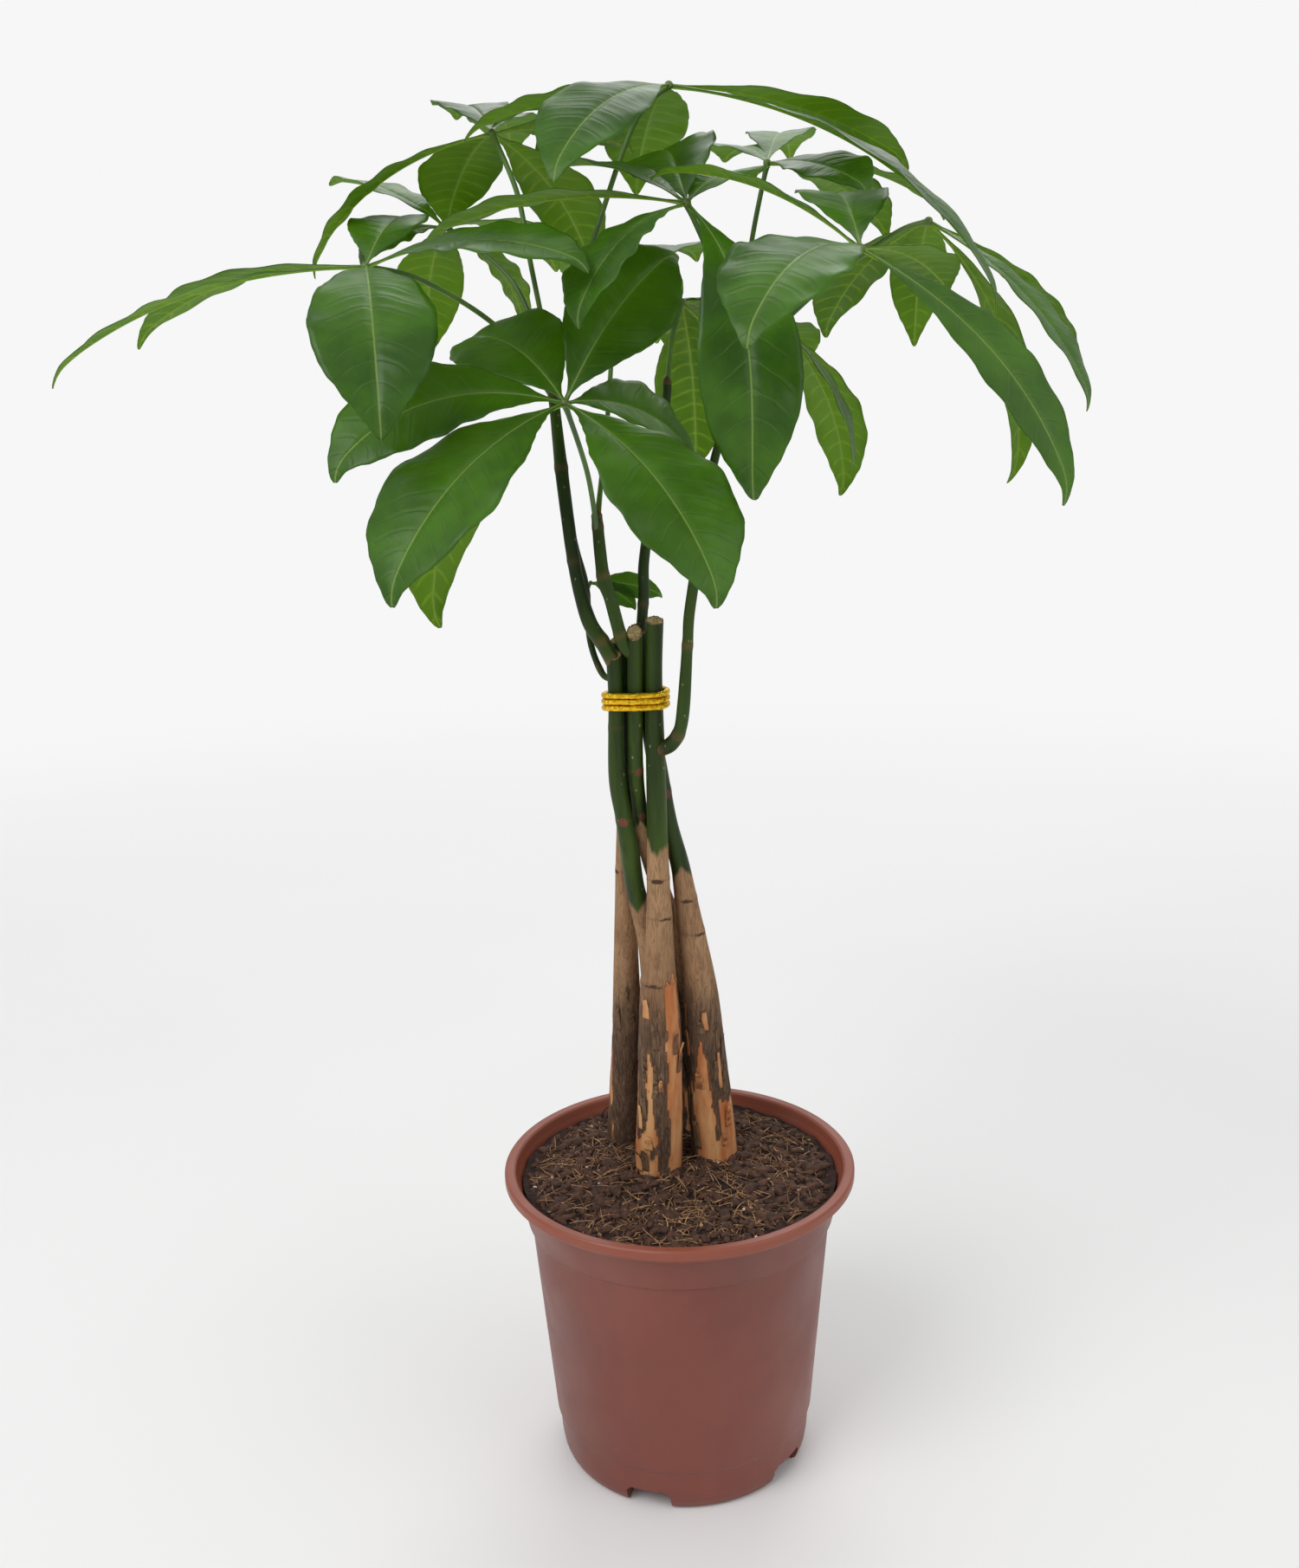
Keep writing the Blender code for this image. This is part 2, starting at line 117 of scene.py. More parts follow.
# name: (petiole points with the hub last, leaflets as heading, rise, droop, length, width, roll, turn)
LEAVES = {
    "leaf_a": ([(-30, -11, 458), (-33, -25, 485), (-40, -60, 515)], [
        (225, -15, 50, 120, 56, -10, 0), (315, -20, 50, 115, 54, 10, 0),
        (185, 15, 70, 105, 42, -40, 20), (125, 40, 50, 85, 48, -25, 0),
        (45, 55, 30, 90, 44, 45, 0), (35, 5, 70, 80, 38, 40, 0), (140, -15, 80, 140, 48, 0, 0),
    ]),
    "leaf_b": ([(-47, 2, 515), (-70, 5, 545), (-100, -10, 565), (-120, -30, 570)], [
        (280, -5, 75, 115, 48, 0, 0), (180, 0, 40, 145, 34, -5, 0), (85, 30, 30, 85, 34, 0, 0),
        (155, 5, 40, 130, 30, 0, 0), (330, 15, 40, 110, 38, 20, 0),
    ]),
    "leaf_c": ([(-49, 3, 536), (-55, 5, 570), (-60, 10, 600), (-70, 15, 625)], [
        (175, -10, 55, 105, 32, -5, 0), (115, -5, 50, 75, 38, 0, 0), (50, -20, 50, 85, 36, -10, 0),
        (105, 25, 30, 95, 34, 0, 0), (20, 10, 35, 65, 30, -10, 0), (90, 20, 40, 125, 34, 0, 0),
    ]),
    "leaf_d": ([(-48, 2, 530), (-30, 0, 575), (-10, 0, 625), (5, 0, 640)], [
        (240, -5, 45, 105, 40, -15, 0), (175, 0, 25, 90, 36, 0, 0), (100, 0, 50, 95, 38, 0, 0),
        (25, 0, 30, 125, 36, 0, 0), (345, -10, 55, 175, 36, 5, 0), (130, 0, 45, 100, 34, 0, 0),
    ]),
    "leaf_e": ([(30, -15, 518), (25, -35, 555), (10, -50, 590)], [
        (165, 10, 35, 115, 36, 0, 0), (215, -15, 60, 75, 40, 0, 0), (315, -40, 70, 130, 40, 10, -55),
        (95, 30, 30, 100, 40, -20, 0), (65, 25, 30, 75, 34, 0, 0), (135, 30, 40, 85, 30, 0, 0),
    ]),
    "leaf_f": ([(32, -12, 522), (55, -50, 555), (75, -75, 570)], [
        (240, 5, 55, 110, 46, -10, 0), (165, 40, 45, 90, 36, 0, 0), (90, 30, 40, 115, 38, 0, 0),
        (345, -30, 45, 130, 30, 35, 0), (50, 5, 40, 70, 32, 0, 0),
    ]),
    "leaf_g": ([(34, -6, 533), (40, 30, 575), (50, 60, 615)], [
        (310, 0, 35, 65, 38, 15, 0), (40, 0, 45, 90, 36, 0, 0), (15, 5, 45, 95, 34, 10, 0),
        (105, 25, 40, 65, 34, 0, 0), (80, 25, 40, 125, 34, 0, 0),
    ]),
    "leaf_h": ([(34, -8, 529), (70, 0, 560), (100, 5, 580), (115, 10, 585)], [
        (335, -30, 40, 110, 32, 5, 0), (25, -20, 40, 110, 30, 10, 0), (30, -35, 70, 135, 34, 15, 0),
        (130, -15, 50, 80, 38, 0, 0), (85, -5, 70, 95, 26, 0, 0),
    ]),
    "leaf_i": ([(2, 10, 518), (5, 30, 540), (10, 45, 555)], [
        (80, -35, 70, 90, 38, 0, 0), (70, 5, 60, 70, 30, 0, 0), (0, -40, 60, 65, 28, 0, 0),
        (95, 10, 60, 70, 34, 0, 0),
    ]),
    "leaf_j": ([(-48, 3, 524), (-65, 30, 565), (-95, 45, 590)], [
        (150, 35, 35, 70, 36, 0, 0), (205, 0, 50, 45, 32, -15, 0), (25, -25, 60, 60, 36, 0, 0),
        (110, -15, 80, 80, 34, 0, 0), (65, 10, 40, 110, 34, 0, 0),
    ]),
    "leaf_k": ([(28, -18, 511), (29, -24, 512)], [(280, -45, 35, 30, 14, 0, 0)]),
    "leaf_l": ([(27, -18, 508), (45, 30, 535), (55, 70, 545)], [
        (40, -35, 60, 100, 36, 0, 0), (345, -40, 50, 80, 26, 0, 0), (80, 5, 60, 80, 34, 0, 0),
    ]),
    "leaf_m": ([(-30, -10, 463), (-25, 30, 505), (-20, 90, 555), (-10, 120, 570)], [
        (100, 15, 50, 115, 36, 0, 0), (85, 10, 55, 130, 36, 0, 0), (115, 20, 45, 90, 34, 0, 0),
        (70, 25, 40, 100, 34, 0, 0),
    ]),
    "leaf_n": ([(-36, 0, 430), (-34, 2, 435)], [
        (10, 0, 30, 34, 14, 45, 0), (350, -15, 35, 24, 12, 35, 0),
    ]),
}
SMALL_LEAVES = {"leaf_k": 0.5, "leaf_n": 0.5}
PETIOLE_RADIUS, HUB_RADIUS = 1.5, 2.4
DROOP_POWER = 1.3
BLADE_OUTLINE = [  # share of the length, share of the half width
    (0.0, 0.05), (0.05, 0.05), (0.10, 0.12), (0.2, 0.37), (0.35, 0.73), (0.5, 0.96), (0.62, 1.0),
    (0.75, 0.86), (0.85, 0.58), (0.92, 0.32), (0.97, 0.15), (1.0, 0.04),
]
VEINS = 13  # side ribs on each half of a leaflet


# -------- mesh helpers
def smooth_path(knots, stations):
    """Even samples of the Catmull-Rom curve through the knots, which may carry a radius."""
    ends = [knots[0], *knots, knots[-1]]
    samples = []
    for i in range(stations + 1):
        at = i / stations * (len(knots) - 1)
        k = min(int(at), len(knots) - 2)
        t = at - k
        a, b, c, d = ends[k : k + 4]
        samples.append(tuple(
            0.5 * (2 * q + (r - p) * t + (2 * p - 5 * q + 4 * r - s) * t**2
                   + (3 * q - p - 3 * r + s) * t**3)
            for p, q, r, s in zip(a, b, c, d)
        ))
    return samples


def frames_along(path):
    """(spot, along, side, other) at each point of a path, turned as little as the path allows."""
    spots = [Vector(p[:3]) for p in path]
    side, found = None, []
    for i, spot in enumerate(spots):
        along = (spots[min(i + 1, len(spots) - 1)] - spots[max(i - 1, 0)]).normalized()
        if side is None:
            side = along.cross(Vector((0, 1, 0))).normalized()
        side = (side - along * side.dot(along)).normalized()
        found.append((spot, along, side, along.cross(side)))
    return found


def grid_faces(rows, columns, wrap=False, start=0):
    """Quads over rows x columns points, closed across the columns if wrap is set."""
    faces = []
    for i in range(rows - 1):
        for j in range(columns if wrap else columns - 1):
            a = start + i * columns + j
            b = start + i * columns + (j + 1) % columns
            faces.append((a, b, b + columns, a + columns))
    return faces


def into_scene(item):
    bpy.context.scene.collection.objects.link(item)
    return item


class Builder:
    """Collects points (millimetres), faces, face materials and point attributes of one piece."""

    def __init__(self):
        self.points, self.faces, self.slots = [], [], []
        self.values = {}

    def add(self, points, faces, slot=0, **values):
        start = len(self.points)
        self.points += [tuple(p) for p in points]
        self.faces += [tuple(i + start for i in face) for face in faces]
        self.slots += [slot] * len(faces)
        for name in {*self.values, *values}:
            known = self.values.setdefault(name, [])
            known += [0.0] * (start - len(known))
            given = values.get(name, 0.0)
            known += list(given) if hasattr(given, "__len__") else [given] * len(points)

    def finish(self, name, materials):
        mesh = bpy.data.meshes.new(name)
        mesh.from_pydata([Vector(p) * MM + AXIS for p in self.points], [], self.faces)
        mesh.polygons.foreach_set("material_index", self.slots)
        mesh.polygons.foreach_set("use_smooth", [True] * len(self.faces))
        for key, numbers in self.values.items():
            mesh.attributes.new(key, "FLOAT", "POINT").data.foreach_set("value", numbers)
        for made in materials:
            mesh.materials.append(made)
        mesh.validate()
        return into_scene(bpy.data.objects.new(name, mesh))


def add_sheet(build, top, under, rows, columns, slots, **values):
    """A thin closed sheet. Both skins split their quads on the same diagonal, so they never cross."""
    halves = [half for a, b, c, d in grid_faces(rows, columns) for half in ((a, b, c), (a, c, d))]
    first = len(build.points)
    build.add(top, [half[::-1] for half in halves], slots[0], **values)
    second = len(build.points)
    build.add(under, halves, slots[1], **values)
    border = [(0, j) for j in range(columns)] + [(i, columns - 1) for i in range(1, rows)]
    border += [(rows - 1, j) for j in range(columns - 2, -1, -1)]
    border += [(i, 0) for i in range(rows - 2, 0, -1)]
    index = [i * columns + j for i, j in border]
    for here, there in zip(index, [*index[1:], index[0]]):
        build.faces.append((first + here, first + there, second + there, second + here))
        build.slots.append(slots[0])


def tube_points(path, sides, shape=None):
    """Rings round a path of (x, y, z, radius); shape(i, turn, spot) scales the radius."""
    points = []
    for i, (spot, _, side, other) in enumerate(frames_along(path)):
        for j in range(sides):
            turn = 2 * math.pi * j / sides
            radius = path[i][3] * (shape(i, turn, spot) if shape else 1.0)
            points.append(spot + side * radius * math.cos(turn) + other * radius * math.sin(turn))
    return points


def add_tube(build, path, sides, slot=0, shape=None, **values):
    """A tube with closed ends."""
    points = tube_points(path, sides, shape)
    faces = grid_faces(len(path), sides, wrap=True)
    faces += [tuple(range(sides))[::-1], tuple(range(len(points) - sides, len(points)))]
    build.add(points, faces, slot, **values)


def outward(piece):
    """Turns every closed shell of a piece so its faces look out."""
    work = bmesh.new()
    work.from_mesh(piece.data)
    bmesh.ops.recalc_face_normals(work, faces=work.faces)
    work.to_mesh(piece.data)
    work.free()
    return piece


def stands_for(piece, node):
    """Shows the piece in place of a CAD node."""
    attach(piece, "root")
    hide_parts(node)


def circle(radius, count):
    """Evenly spaced (x, y) round the axis."""
    turns = [2 * math.pi * j / count for j in range(count)]
    return [(radius * math.cos(turn), radius * math.sin(turn)) for turn in turns]


def level_way(turn):
    """The level direction at a turn from +X."""
    return Vector((math.cos(turn), math.sin(turn), 0))


# -------- material helpers
def set_inputs(node, **values):
    """Sets inputs by name, with _ where the name has a space."""
    for name, value in values.items():
        node.inputs[name.replace("_", " ")].default_value = value
    return node


def blend_shaders(tree, first, second, output):
    """Sends a blend of two shaders out, and returns the socket for the second one's share."""
    mixed = tree.nodes.new("ShaderNodeMixShader")
    tree.links.new(first.outputs[0], mixed.inputs[1])
    tree.links.new(second.outputs[0], mixed.inputs[2])
    tree.links.new(mixed.outputs[0], output.inputs["Surface"])
    return mixed.inputs[0]


class Nodes:
    """Short calls for building one material's node tree."""

    def __init__(self, name):
        self.material = bpy.data.materials.new(name)
        self.material.use_nodes = True
        self.tree = self.material.node_tree
        self.shader = self.tree.nodes["Principled BSDF"]
        self.output = self.tree.nodes["Material Output"]

    def new(self, kind, **settings):
        made = self.tree.nodes.new(f"ShaderNode{kind}")
        for key, value in settings.items():
            setattr(made, key, value)
        return made

    def link(self, source, target):
        self.tree.links.new(source, target)

    def put(self, socket, value):
        """Links a socket, or sets it where value is a plain number or colour."""
        if isinstance(value, bpy.types.NodeSocket):
            self.link(value, socket)
        else:
            socket.default_value = value

    def place(self, stretch=(1, 1, 1)):
        """Object coordinates, scaled per axis."""
        where = self.new("TexCoord").outputs["Object"]
        mapping = set_inputs(self.new("Mapping"), Scale=stretch)
        self.link(where, mapping.inputs["Vector"])
        return mapping.outputs["Vector"]

    def noise(self, scale, detail=3.0, rough=0.5, stretch=(1, 1, 1), distortion=0.0):
        made = self.new("TexNoise")
        self.link(self.place(stretch), made.inputs["Vector"])
        set_inputs(made, Scale=scale, Detail=detail, Roughness=rough, Distortion=distortion)
        return made.outputs["Fac"]

    def cells(self, scale, stretch=(1, 1, 1), feature="F1"):
        made = set_inputs(self.new("TexVoronoi", feature=feature), Scale=scale)
        self.link(self.place(stretch), made.inputs["Vector"])
        return made.outputs["Distance"]

    def height(self):
        """Height above the floor, in millimetres."""
        parts = self.new("SeparateXYZ")
        self.link(self.new("TexCoord").outputs["Object"], parts.inputs[0])
        return self.math("MULTIPLY", parts.outputs["Z"], 1000)

    def attribute(self, name):
        return self.new("Attribute", attribute_name=name).outputs["Fac"]

    def math(self, operation, a, b=0.0):
        made = self.new("Math", operation=operation)
        self.put(made.inputs[0], a)
        self.put(made.inputs[1], b)
        return made.outputs[0]

    def ramp(self, value, low, high, out_low=0.0, out_high=1.0):
        """A smooth step from low to high."""
        made = self.new("MapRange", interpolation_type="SMOOTHSTEP")
        set_inputs(made, From_Min=low, From_Max=high, To_Min=out_low, To_Max=out_high)
        self.put(made.inputs["Value"], value)
        return made.outputs["Result"]

    def mix(self, share, a, b):
        made = self.new("Mix", data_type="RGBA")
        self.put(made.inputs["Factor"], share)
        self.put(made.inputs[6], a)  # 6, 7 and output 2 are the colour sockets
        self.put(made.inputs[7], b)
        return made.outputs[2]

    def tint(self, colour, mask, share, other):
        """Mixes in a share of another colour where the mask is 1."""
        return self.mix(self.math("MULTIPLY", mask, share), colour, other)

    def bump(self, height, distance, strength=1.0, after=None):
        made = set_inputs(self.new("Bump"), Distance=distance, Strength=strength)
        self.link(height, made.inputs["Height"])
        if after is not None:
            self.link(after, made.inputs["Normal"])
        return made.outputs["Normal"]

    def principled(self, colour, rough, normal=None, **plain):
        self.put(self.shader.inputs["Base Color"], colour)
        self.put(self.shader.inputs["Roughness"], rough)
        if normal is not None:
            self.link(normal, self.shader.inputs["Normal"])
        set_inputs(self.shader, **plain)
        return self.material

    def see_through(self, share, colour):
        """Lets some light from behind glow through a thin blade."""
        glow = set_inputs(self.new("BsdfTranslucent"), Color=colour)
        self.put(self.blend(glow), share)

    def blend(self, other):
        """Sends a blend of the main shader and another out, and returns the share's socket."""
        return blend_shaders(self.tree, self.shader, other, self.output)


def rgb(r, g, b):
    """A colour given as display values 0 to 255, made linear."""
    parts = [v / 255 for v in (r, g, b)]
    return (*(((v + 0.055) / 1.055) ** 2.4 if v > 0.04 else v / 12.92 for v in parts), 1.0)


def leaf_material(name, dark, light, vein, glow, rough, under):
    """Leaflet skin: blotched green, slightly paler ribs, painted shade in the top's vein furrows, and
    a fine net between them.
    """
    n = Nodes(name)
    broad = n.ramp(n.noise(26, 3, 0.6), 0.36, 0.66)
    fine = n.ramp(n.noise(260, 4, 0.6), 0.3, 0.75)
    colour = n.mix(broad, dark, light)
    colour = n.tint(colour, fine, 0.18, light)
    colour = n.tint(colour, n.attribute("tone"), 0.7, light)
    across = n.math("ABSOLUTE", n.attribute("across"))
    away = n.math("ABSOLUTE", n.math("SUBTRACT", n.math("FRACT", n.attribute("phase")), 0.5))
    rib = n.math("MULTIPLY", n.ramp(away, 0.05, 0.0), n.ramp(across, 0.95, 0.5))
    furrow = n.math("MULTIPLY", n.ramp(away, 0.16, 0.02), n.ramp(across, 0.98, 0.6))
    middle = n.attribute("middle")
    mid = n.ramp(middle, 0.75 if under else 0.5, 0.2)
    # Painted shade: on the top skin the furrows beside the side ribs are darkened as shade in their
    # sunken grooves; on the underside they take the paler glow colour.
    colour = n.tint(colour, furrow, 0.30, glow if under else dark)
    colour = n.tint(colour, rib, 0.30 if under else 0.20, vein)
    colour = n.tint(colour, n.ramp(middle, 3.0, 0.4), 0.10, vein)
    colour = n.tint(colour, mid, 0.80, vein)
    colour = n.tint(colour, n.ramp(across, 0.97, 1.0), 0.35, light)
    net = n.ramp(n.cells(420, feature="DISTANCE_TO_EDGE"), 0.0, 0.10)
    colour = n.tint(colour, n.math("SUBTRACT", 1.0, net), 0.10, vein if under else dark)
    pucker = n.math("MULTIPLY", furrow, -0.9)
    normal = n.bump(n.math("ADD", n.noise(70, 1), pucker), 0.0005, 0.28)
    rough_map = n.ramp(n.noise(60, 3), 0.3, 0.7, rough - 0.05, rough + 0.08)
    made = n.principled(colour, rough_map, normal, Specular_IOR_Level=0.36)
    n.see_through(0.5 if under else 0.28, glow)
    return made


def stem_material():
    """Green stem skin with streaks, pale pores and brown at the joints."""
    n = Nodes("green_stem")
    streak = n.ramp(n.noise(60, 4, 0.6, (1, 1, 0.12)), 0.3, 0.7)
    colour = n.mix(streak, rgb(27, 42, 9), rgb(52, 76, 16))
    pores = n.ramp(n.cells(330, (1, 1, 0.6)), 0.16, 0.07)
    colour = n.tint(colour, pores, 0.55, rgb(150, 150, 110))
    colour = n.mix(n.attribute("brown"), colour, n.mix(streak, rgb(96, 62, 42), rgb(140, 96, 66)))
    normal = n.bump(n.noise(420, 3, 0.6, (1, 1, 0.2)), 0.0003, 0.4)
    return n.principled(colour, 0.46, normal, Specular_IOR_Level=0.25)


def petiole_material():
    """Smooth pale green stalk, browner at its foot and where the leaflets meet."""
    n = Nodes("leaf_stalk")
    streak = n.ramp(n.noise(40, 3), 0.3, 0.7)
    colour = n.mix(streak, rgb(54, 86, 28), rgb(90, 124, 44))
    colour = n.mix(n.attribute("brown"), colour, rgb(120, 120, 62))
    normal = n.bump(n.noise(500, 3), 0.0002, 0.3)
    return n.principled(colour, 0.42, normal)


def bark_material():
    """Papery brown bark: fine wavy lines, darker and peeling near the soil, green skin high up."""
    n = Nodes("bark")
    low = n.attribute("low")
    tone = n.ramp(n.noise(45, 4, 0.6, (1, 1, 0.45)), 0.3, 0.7)
    tan = n.mix(tone, rgb(136, 102, 74), rgb(170, 134, 98))
    dim = n.mix(tone, rgb(72, 54, 42), rgb(104, 80, 62))
    colour = n.mix(low, tan, dim)
    lines = n.noise(820, 3, 0.6, (1, 1, 0.12), 1.6)
    streaks = n.math("MULTIPLY", n.ramp(lines, 0.49, 0.42), n.ramp(low, 0.0, 1.0, 0.34, 0.62))
    colour = n.mix(streaks, colour, rgb(54, 40, 31))
    colour = n.mix(n.ramp(lines, 0.56, 0.66, 0.0, 0.22), colour, rgb(184, 150, 116))
    specks = n.ramp(n.cells(240, (1, 1, 1.6)), 0.13, 0.06)
    colour = n.tint(colour, specks, 0.35, rgb(66, 46, 36))
    peel_tone = n.ramp(n.noise(130, 4, 0.6, (1, 1, 0.2)), 0.3, 0.7)
    peel_colour = n.mix(peel_tone, rgb(176, 104, 60), rgb(208, 160, 110))
    peel = n.attribute("peel")
    colour = n.mix(peel, colour, peel_colour)
    edge = n.math("MULTIPLY", n.ramp(peel, 0.02, 0.45), n.ramp(peel, 0.98, 0.55))
    colour = n.tint(colour, edge, 0.75, rgb(70, 44, 30))
    skin_streak = n.ramp(n.noise(120, 4, 0.6, (1, 1, 0.1)), 0.3, 0.7)
    skin = n.mix(skin_streak, rgb(30, 45, 9), rgb(55, 77, 16))
    pores = n.ramp(n.cells(240, (1, 1, 0.5)), 0.12, 0.05)
    skin = n.tint(skin, pores, 0.7, rgb(160, 156, 116))
    colour = n.mix(n.attribute("green"), colour, skin)
    scar_tone = n.mix(skin_streak, rgb(84, 46, 34), rgb(122, 68, 48))
    scar_tone = n.mix(n.attribute("green"), rgb(72, 52, 39), scar_tone)
    colour = n.mix(n.attribute("scar"), colour, scar_tone)
    rough = n.ramp(n.attribute("green"), 0.0, 1.0, 0.82, 0.42)
    normal = n.bump(lines, 0.0005, 0.5)
    normal = n.bump(n.noise(300, 4), 0.0005, 0.3, normal)
    return n.principled(colour, rough, normal, Specular_IOR_Level=0.25)


def cut_wood_material():
    """Straw-coloured sawn wood inside a dark rim."""
    n = Nodes("cut_wood")
    rings = n.noise(900, 4, 0.7)
    colour = n.mix(n.ramp(rings, 0.38, 0.62), rgb(160, 124, 82), rgb(224, 200, 156))
    colour = n.mix(n.attribute("rim"), colour, rgb(92, 62, 42))
    return n.principled(colour, 0.85, n.bump(rings, 0.0006, 0.6))


def pot_material():
    """Brick-coloured moulded plastic: soft sheen, faint clouds, painted light on the rim, pin-prick
    dirt and a few scuffs.
    """
    n = Nodes("terracotta_plastic")
    cloud = n.ramp(n.noise(13, 4, 0.6), 0.3, 0.7)
    colour = n.mix(cloud, rgb(110, 55, 44), rgb(122, 62, 49))
    # Painted light: the rim from 143.5 mm up is painted lighter and warmer, as the light that the lip
    # catches.
    colour = n.mix(n.ramp(n.height(), 143.5, 146.5, 0.0, 0.75), colour, rgb(142, 72, 50))
    flow = n.ramp(n.noise(30, 3, 0.5, (1, 1, 0.08)), 0.45, 0.7)
    colour = n.tint(colour, flow, 0.12, rgb(146, 82, 66))
    specks = n.ramp(n.cells(95), 0.055, 0.03)
    colour = n.tint(colour, specks, 0.55, rgb(84, 44, 38))
    dust = n.ramp(n.noise(420, 5, 0.7), 0.66, 0.8)
    colour = n.tint(colour, dust, 0.3, rgb(176, 130, 114))
    scuffs = n.ramp(n.noise(70, 4, 0.7, (1, 1, 5)), 0.68, 0.74)
    colour = n.tint(colour, scuffs, 0.18, rgb(176, 124, 108))
    normal = n.bump(n.noise(900, 3), 0.0001, 0.35)
    normal = n.bump(flow, 0.0003, 0.15, normal)
    rough = n.ramp(n.noise(34, 4), 0.3, 0.7, 0.36, 0.5)
    return n.principled(colour, rough, normal)


def soil_material():
    """Dark damp peat with paler fine grit."""
    n = Nodes("potting_soil")
    lumps = n.noise(160, 6, 0.7)
    colour = n.mix(n.ramp(lumps, 0.35, 0.65), rgb(30, 17, 12), rgb(74, 46, 35))
    colour = n.mix(n.ramp(n.noise(620, 4, 0.7), 0.64, 0.76, 0, 0.5), colour, rgb(122, 88, 62))
    normal = n.bump(n.noise(480, 6, 0.75), 0.003, 0.9)
    return n.principled(colour, 0.93, normal)


def litter_material(name, dark, light):
    """A dry rough skin for chips, straw and grains."""
    n = Nodes(name)
    colour = n.mix(n.ramp(n.noise(300, 4, 0.7), 0.3, 0.7), dark, light)
    return n.principled(colour, 0.85, n.bump(n.noise(900, 4), 0.0006, 0.6))


def gold_material():
    """Crinkled gold foil round a wire."""
    n = Nodes("gold_tie")
    wrap = n.noise(700, 3, 0.5)
    colour = n.mix(n.ramp(wrap, 0.35, 0.65), rgb(208, 156, 16), rgb(250, 208, 44))
    return n.principled(colour, 0.27, n.bump(wrap, 0.0004, 0.7), Metallic=0.75)


# -------- leaves
BLADE_STEPS, BLADE_ROWS, BLADE_HALF = 160, 64, 12  # BLADE_HALF: columns on each side of the middle
TIP_HOOK, TIP_FROM = 34, 0.88  # the drawn-out tip hooks down by these degrees, from this share on
PETIOLE_RINGS, PETIOLE_SIDES = 60, 16
HUB_SHARE = 0.78  # the fine hub's size against the CAD's


def leaflet_grid(hub, heading, rise, droop, length, width, roll, turn, seed):
    """Top and underside points of one leaflet, with each point's vein phase, share across and
    distance from the middle."""
    spot, line = Vector(hub), []
    for i in range(BLADE_STEPS + 1):
        share = min((i + 0.5) / BLADE_STEPS, 1.0)
        bearing = math.radians(heading + turn * share)
        tip = TIP_HOOK * max(0.0, (share - TIP_FROM) / (1 - TIP_FROM)) ** 1.5
        pitch = math.radians(rise - droop * share**DROOP_POWER - tip)
        flat = level_way(bearing)
        along = flat * math.cos(pitch) + Vector((0, 0, math.sin(pitch)))
        line.append((spot.copy(), along, Vector((-flat.y, flat.x, 0))))
        spot += along * length / BLADE_STEPS
    outline = smooth_path([(share * 100, wide * 100, 0) for share, wide in BLADE_OUTLINE], 300)
    shares = [p[0] / 100 for p in outline]
    wides = [max(p[1] / 100, 0.02) for p in outline]
    tilt = math.radians(roll)
    waves = 4 + seed % 3
    top, under, phases, acrosses, middles = [], [], [], [], []
    for i in range(BLADE_ROWS + 1):
        share = i / BLADE_ROWS
        at, along, level = line[round(share * BLADE_STEPS)]
        up = along.cross(level)
        side = level * math.cos(tilt) + up * math.sin(tilt)
        normal = up * math.cos(tilt) - level * math.sin(tilt)
        half = float(np.interp(share, shares, wides)) * width / 2
        for j in range(-BLADE_HALF, BLADE_HALF + 1):
            u = math.copysign(abs(j / BLADE_HALF) ** 1.35, j)
            a = abs(u)
            ripple = math.sin(2 * math.pi * (waves * share + 0.17 * seed + (0.31 if u > 0 else 0)))
            wave = 0.04 * half * ripple * a**2.2 * min(1, 4 * share)
            stray = 0.2 * noise.noise(Vector((share * 5, math.copysign(4, u), seed * 1.3)))
            phase = VEINS * (share - 0.115 * a**1.3 * half / 20) + stray
            between = abs((phase % 1) - 0.5) * 2
            quilt = 0.018 * half * (1 - between**2) * min(1, 8 * a) * (1 - a**4)
            groove = -0.022 * half * math.exp(-((a / 0.06) ** 2))
            keel = half * (0.16 * a - 0.08 * a * a)
            lump = 0.05 * half * noise.noise(Vector((share * 4, u * 1.6, seed * 3.7))) * a
            edge = 1 + 0.018 * noise.noise(Vector((share * 16, 3.0 if u > 0 else 9.0, seed)))
            lift = keel + wave + quilt + groove + lump
            thick = 0.24 + 0.5 * math.exp(-((share / 0.06) ** 2)) * (1 - a)
            rib = 0.55 * math.exp(-((a / 0.07) ** 2)) * (1 - share) ** 0.6
            place = at + side * (u * half * edge)
            top.append(place + normal * (lift + thick * (1 - 0.5 * a)))
            under.append(place + normal * (lift - thick * (1 - 0.5 * a) - rib))
            phases.append(phase)
            acrosses.append(u)
            middles.append(a * half)
    return top, under, phases, acrosses, middles


def add_leaflet(build, hub, leaflet, seed, tone):
    top, under, phases, acrosses, middles = leaflet_grid(hub, *leaflet, seed)
    add_sheet(build, top, under, BLADE_ROWS + 1, 2 * BLADE_HALF + 1, (0, 1),
              phase=phases, across=acrosses, middle=middles, tone=tone)


def add_hub(build, hub, size):
    """The knuckle where the leaflets meet."""
    size *= HUB_SHARE
    rows = [(-0.98, 0.2), (-0.8, 0.6), (-0.45, 0.89), (0, 1.0), (0.45, 0.89), (0.8, 0.6),
            (0.98, 0.2)]  # height and radius, as shares of the size
    ball = [(hub[0], hub[1], hub[2] + size * up, size * wide) for up, wide in rows]
    add_tube(build, ball, 20, 2, brown=0.35)


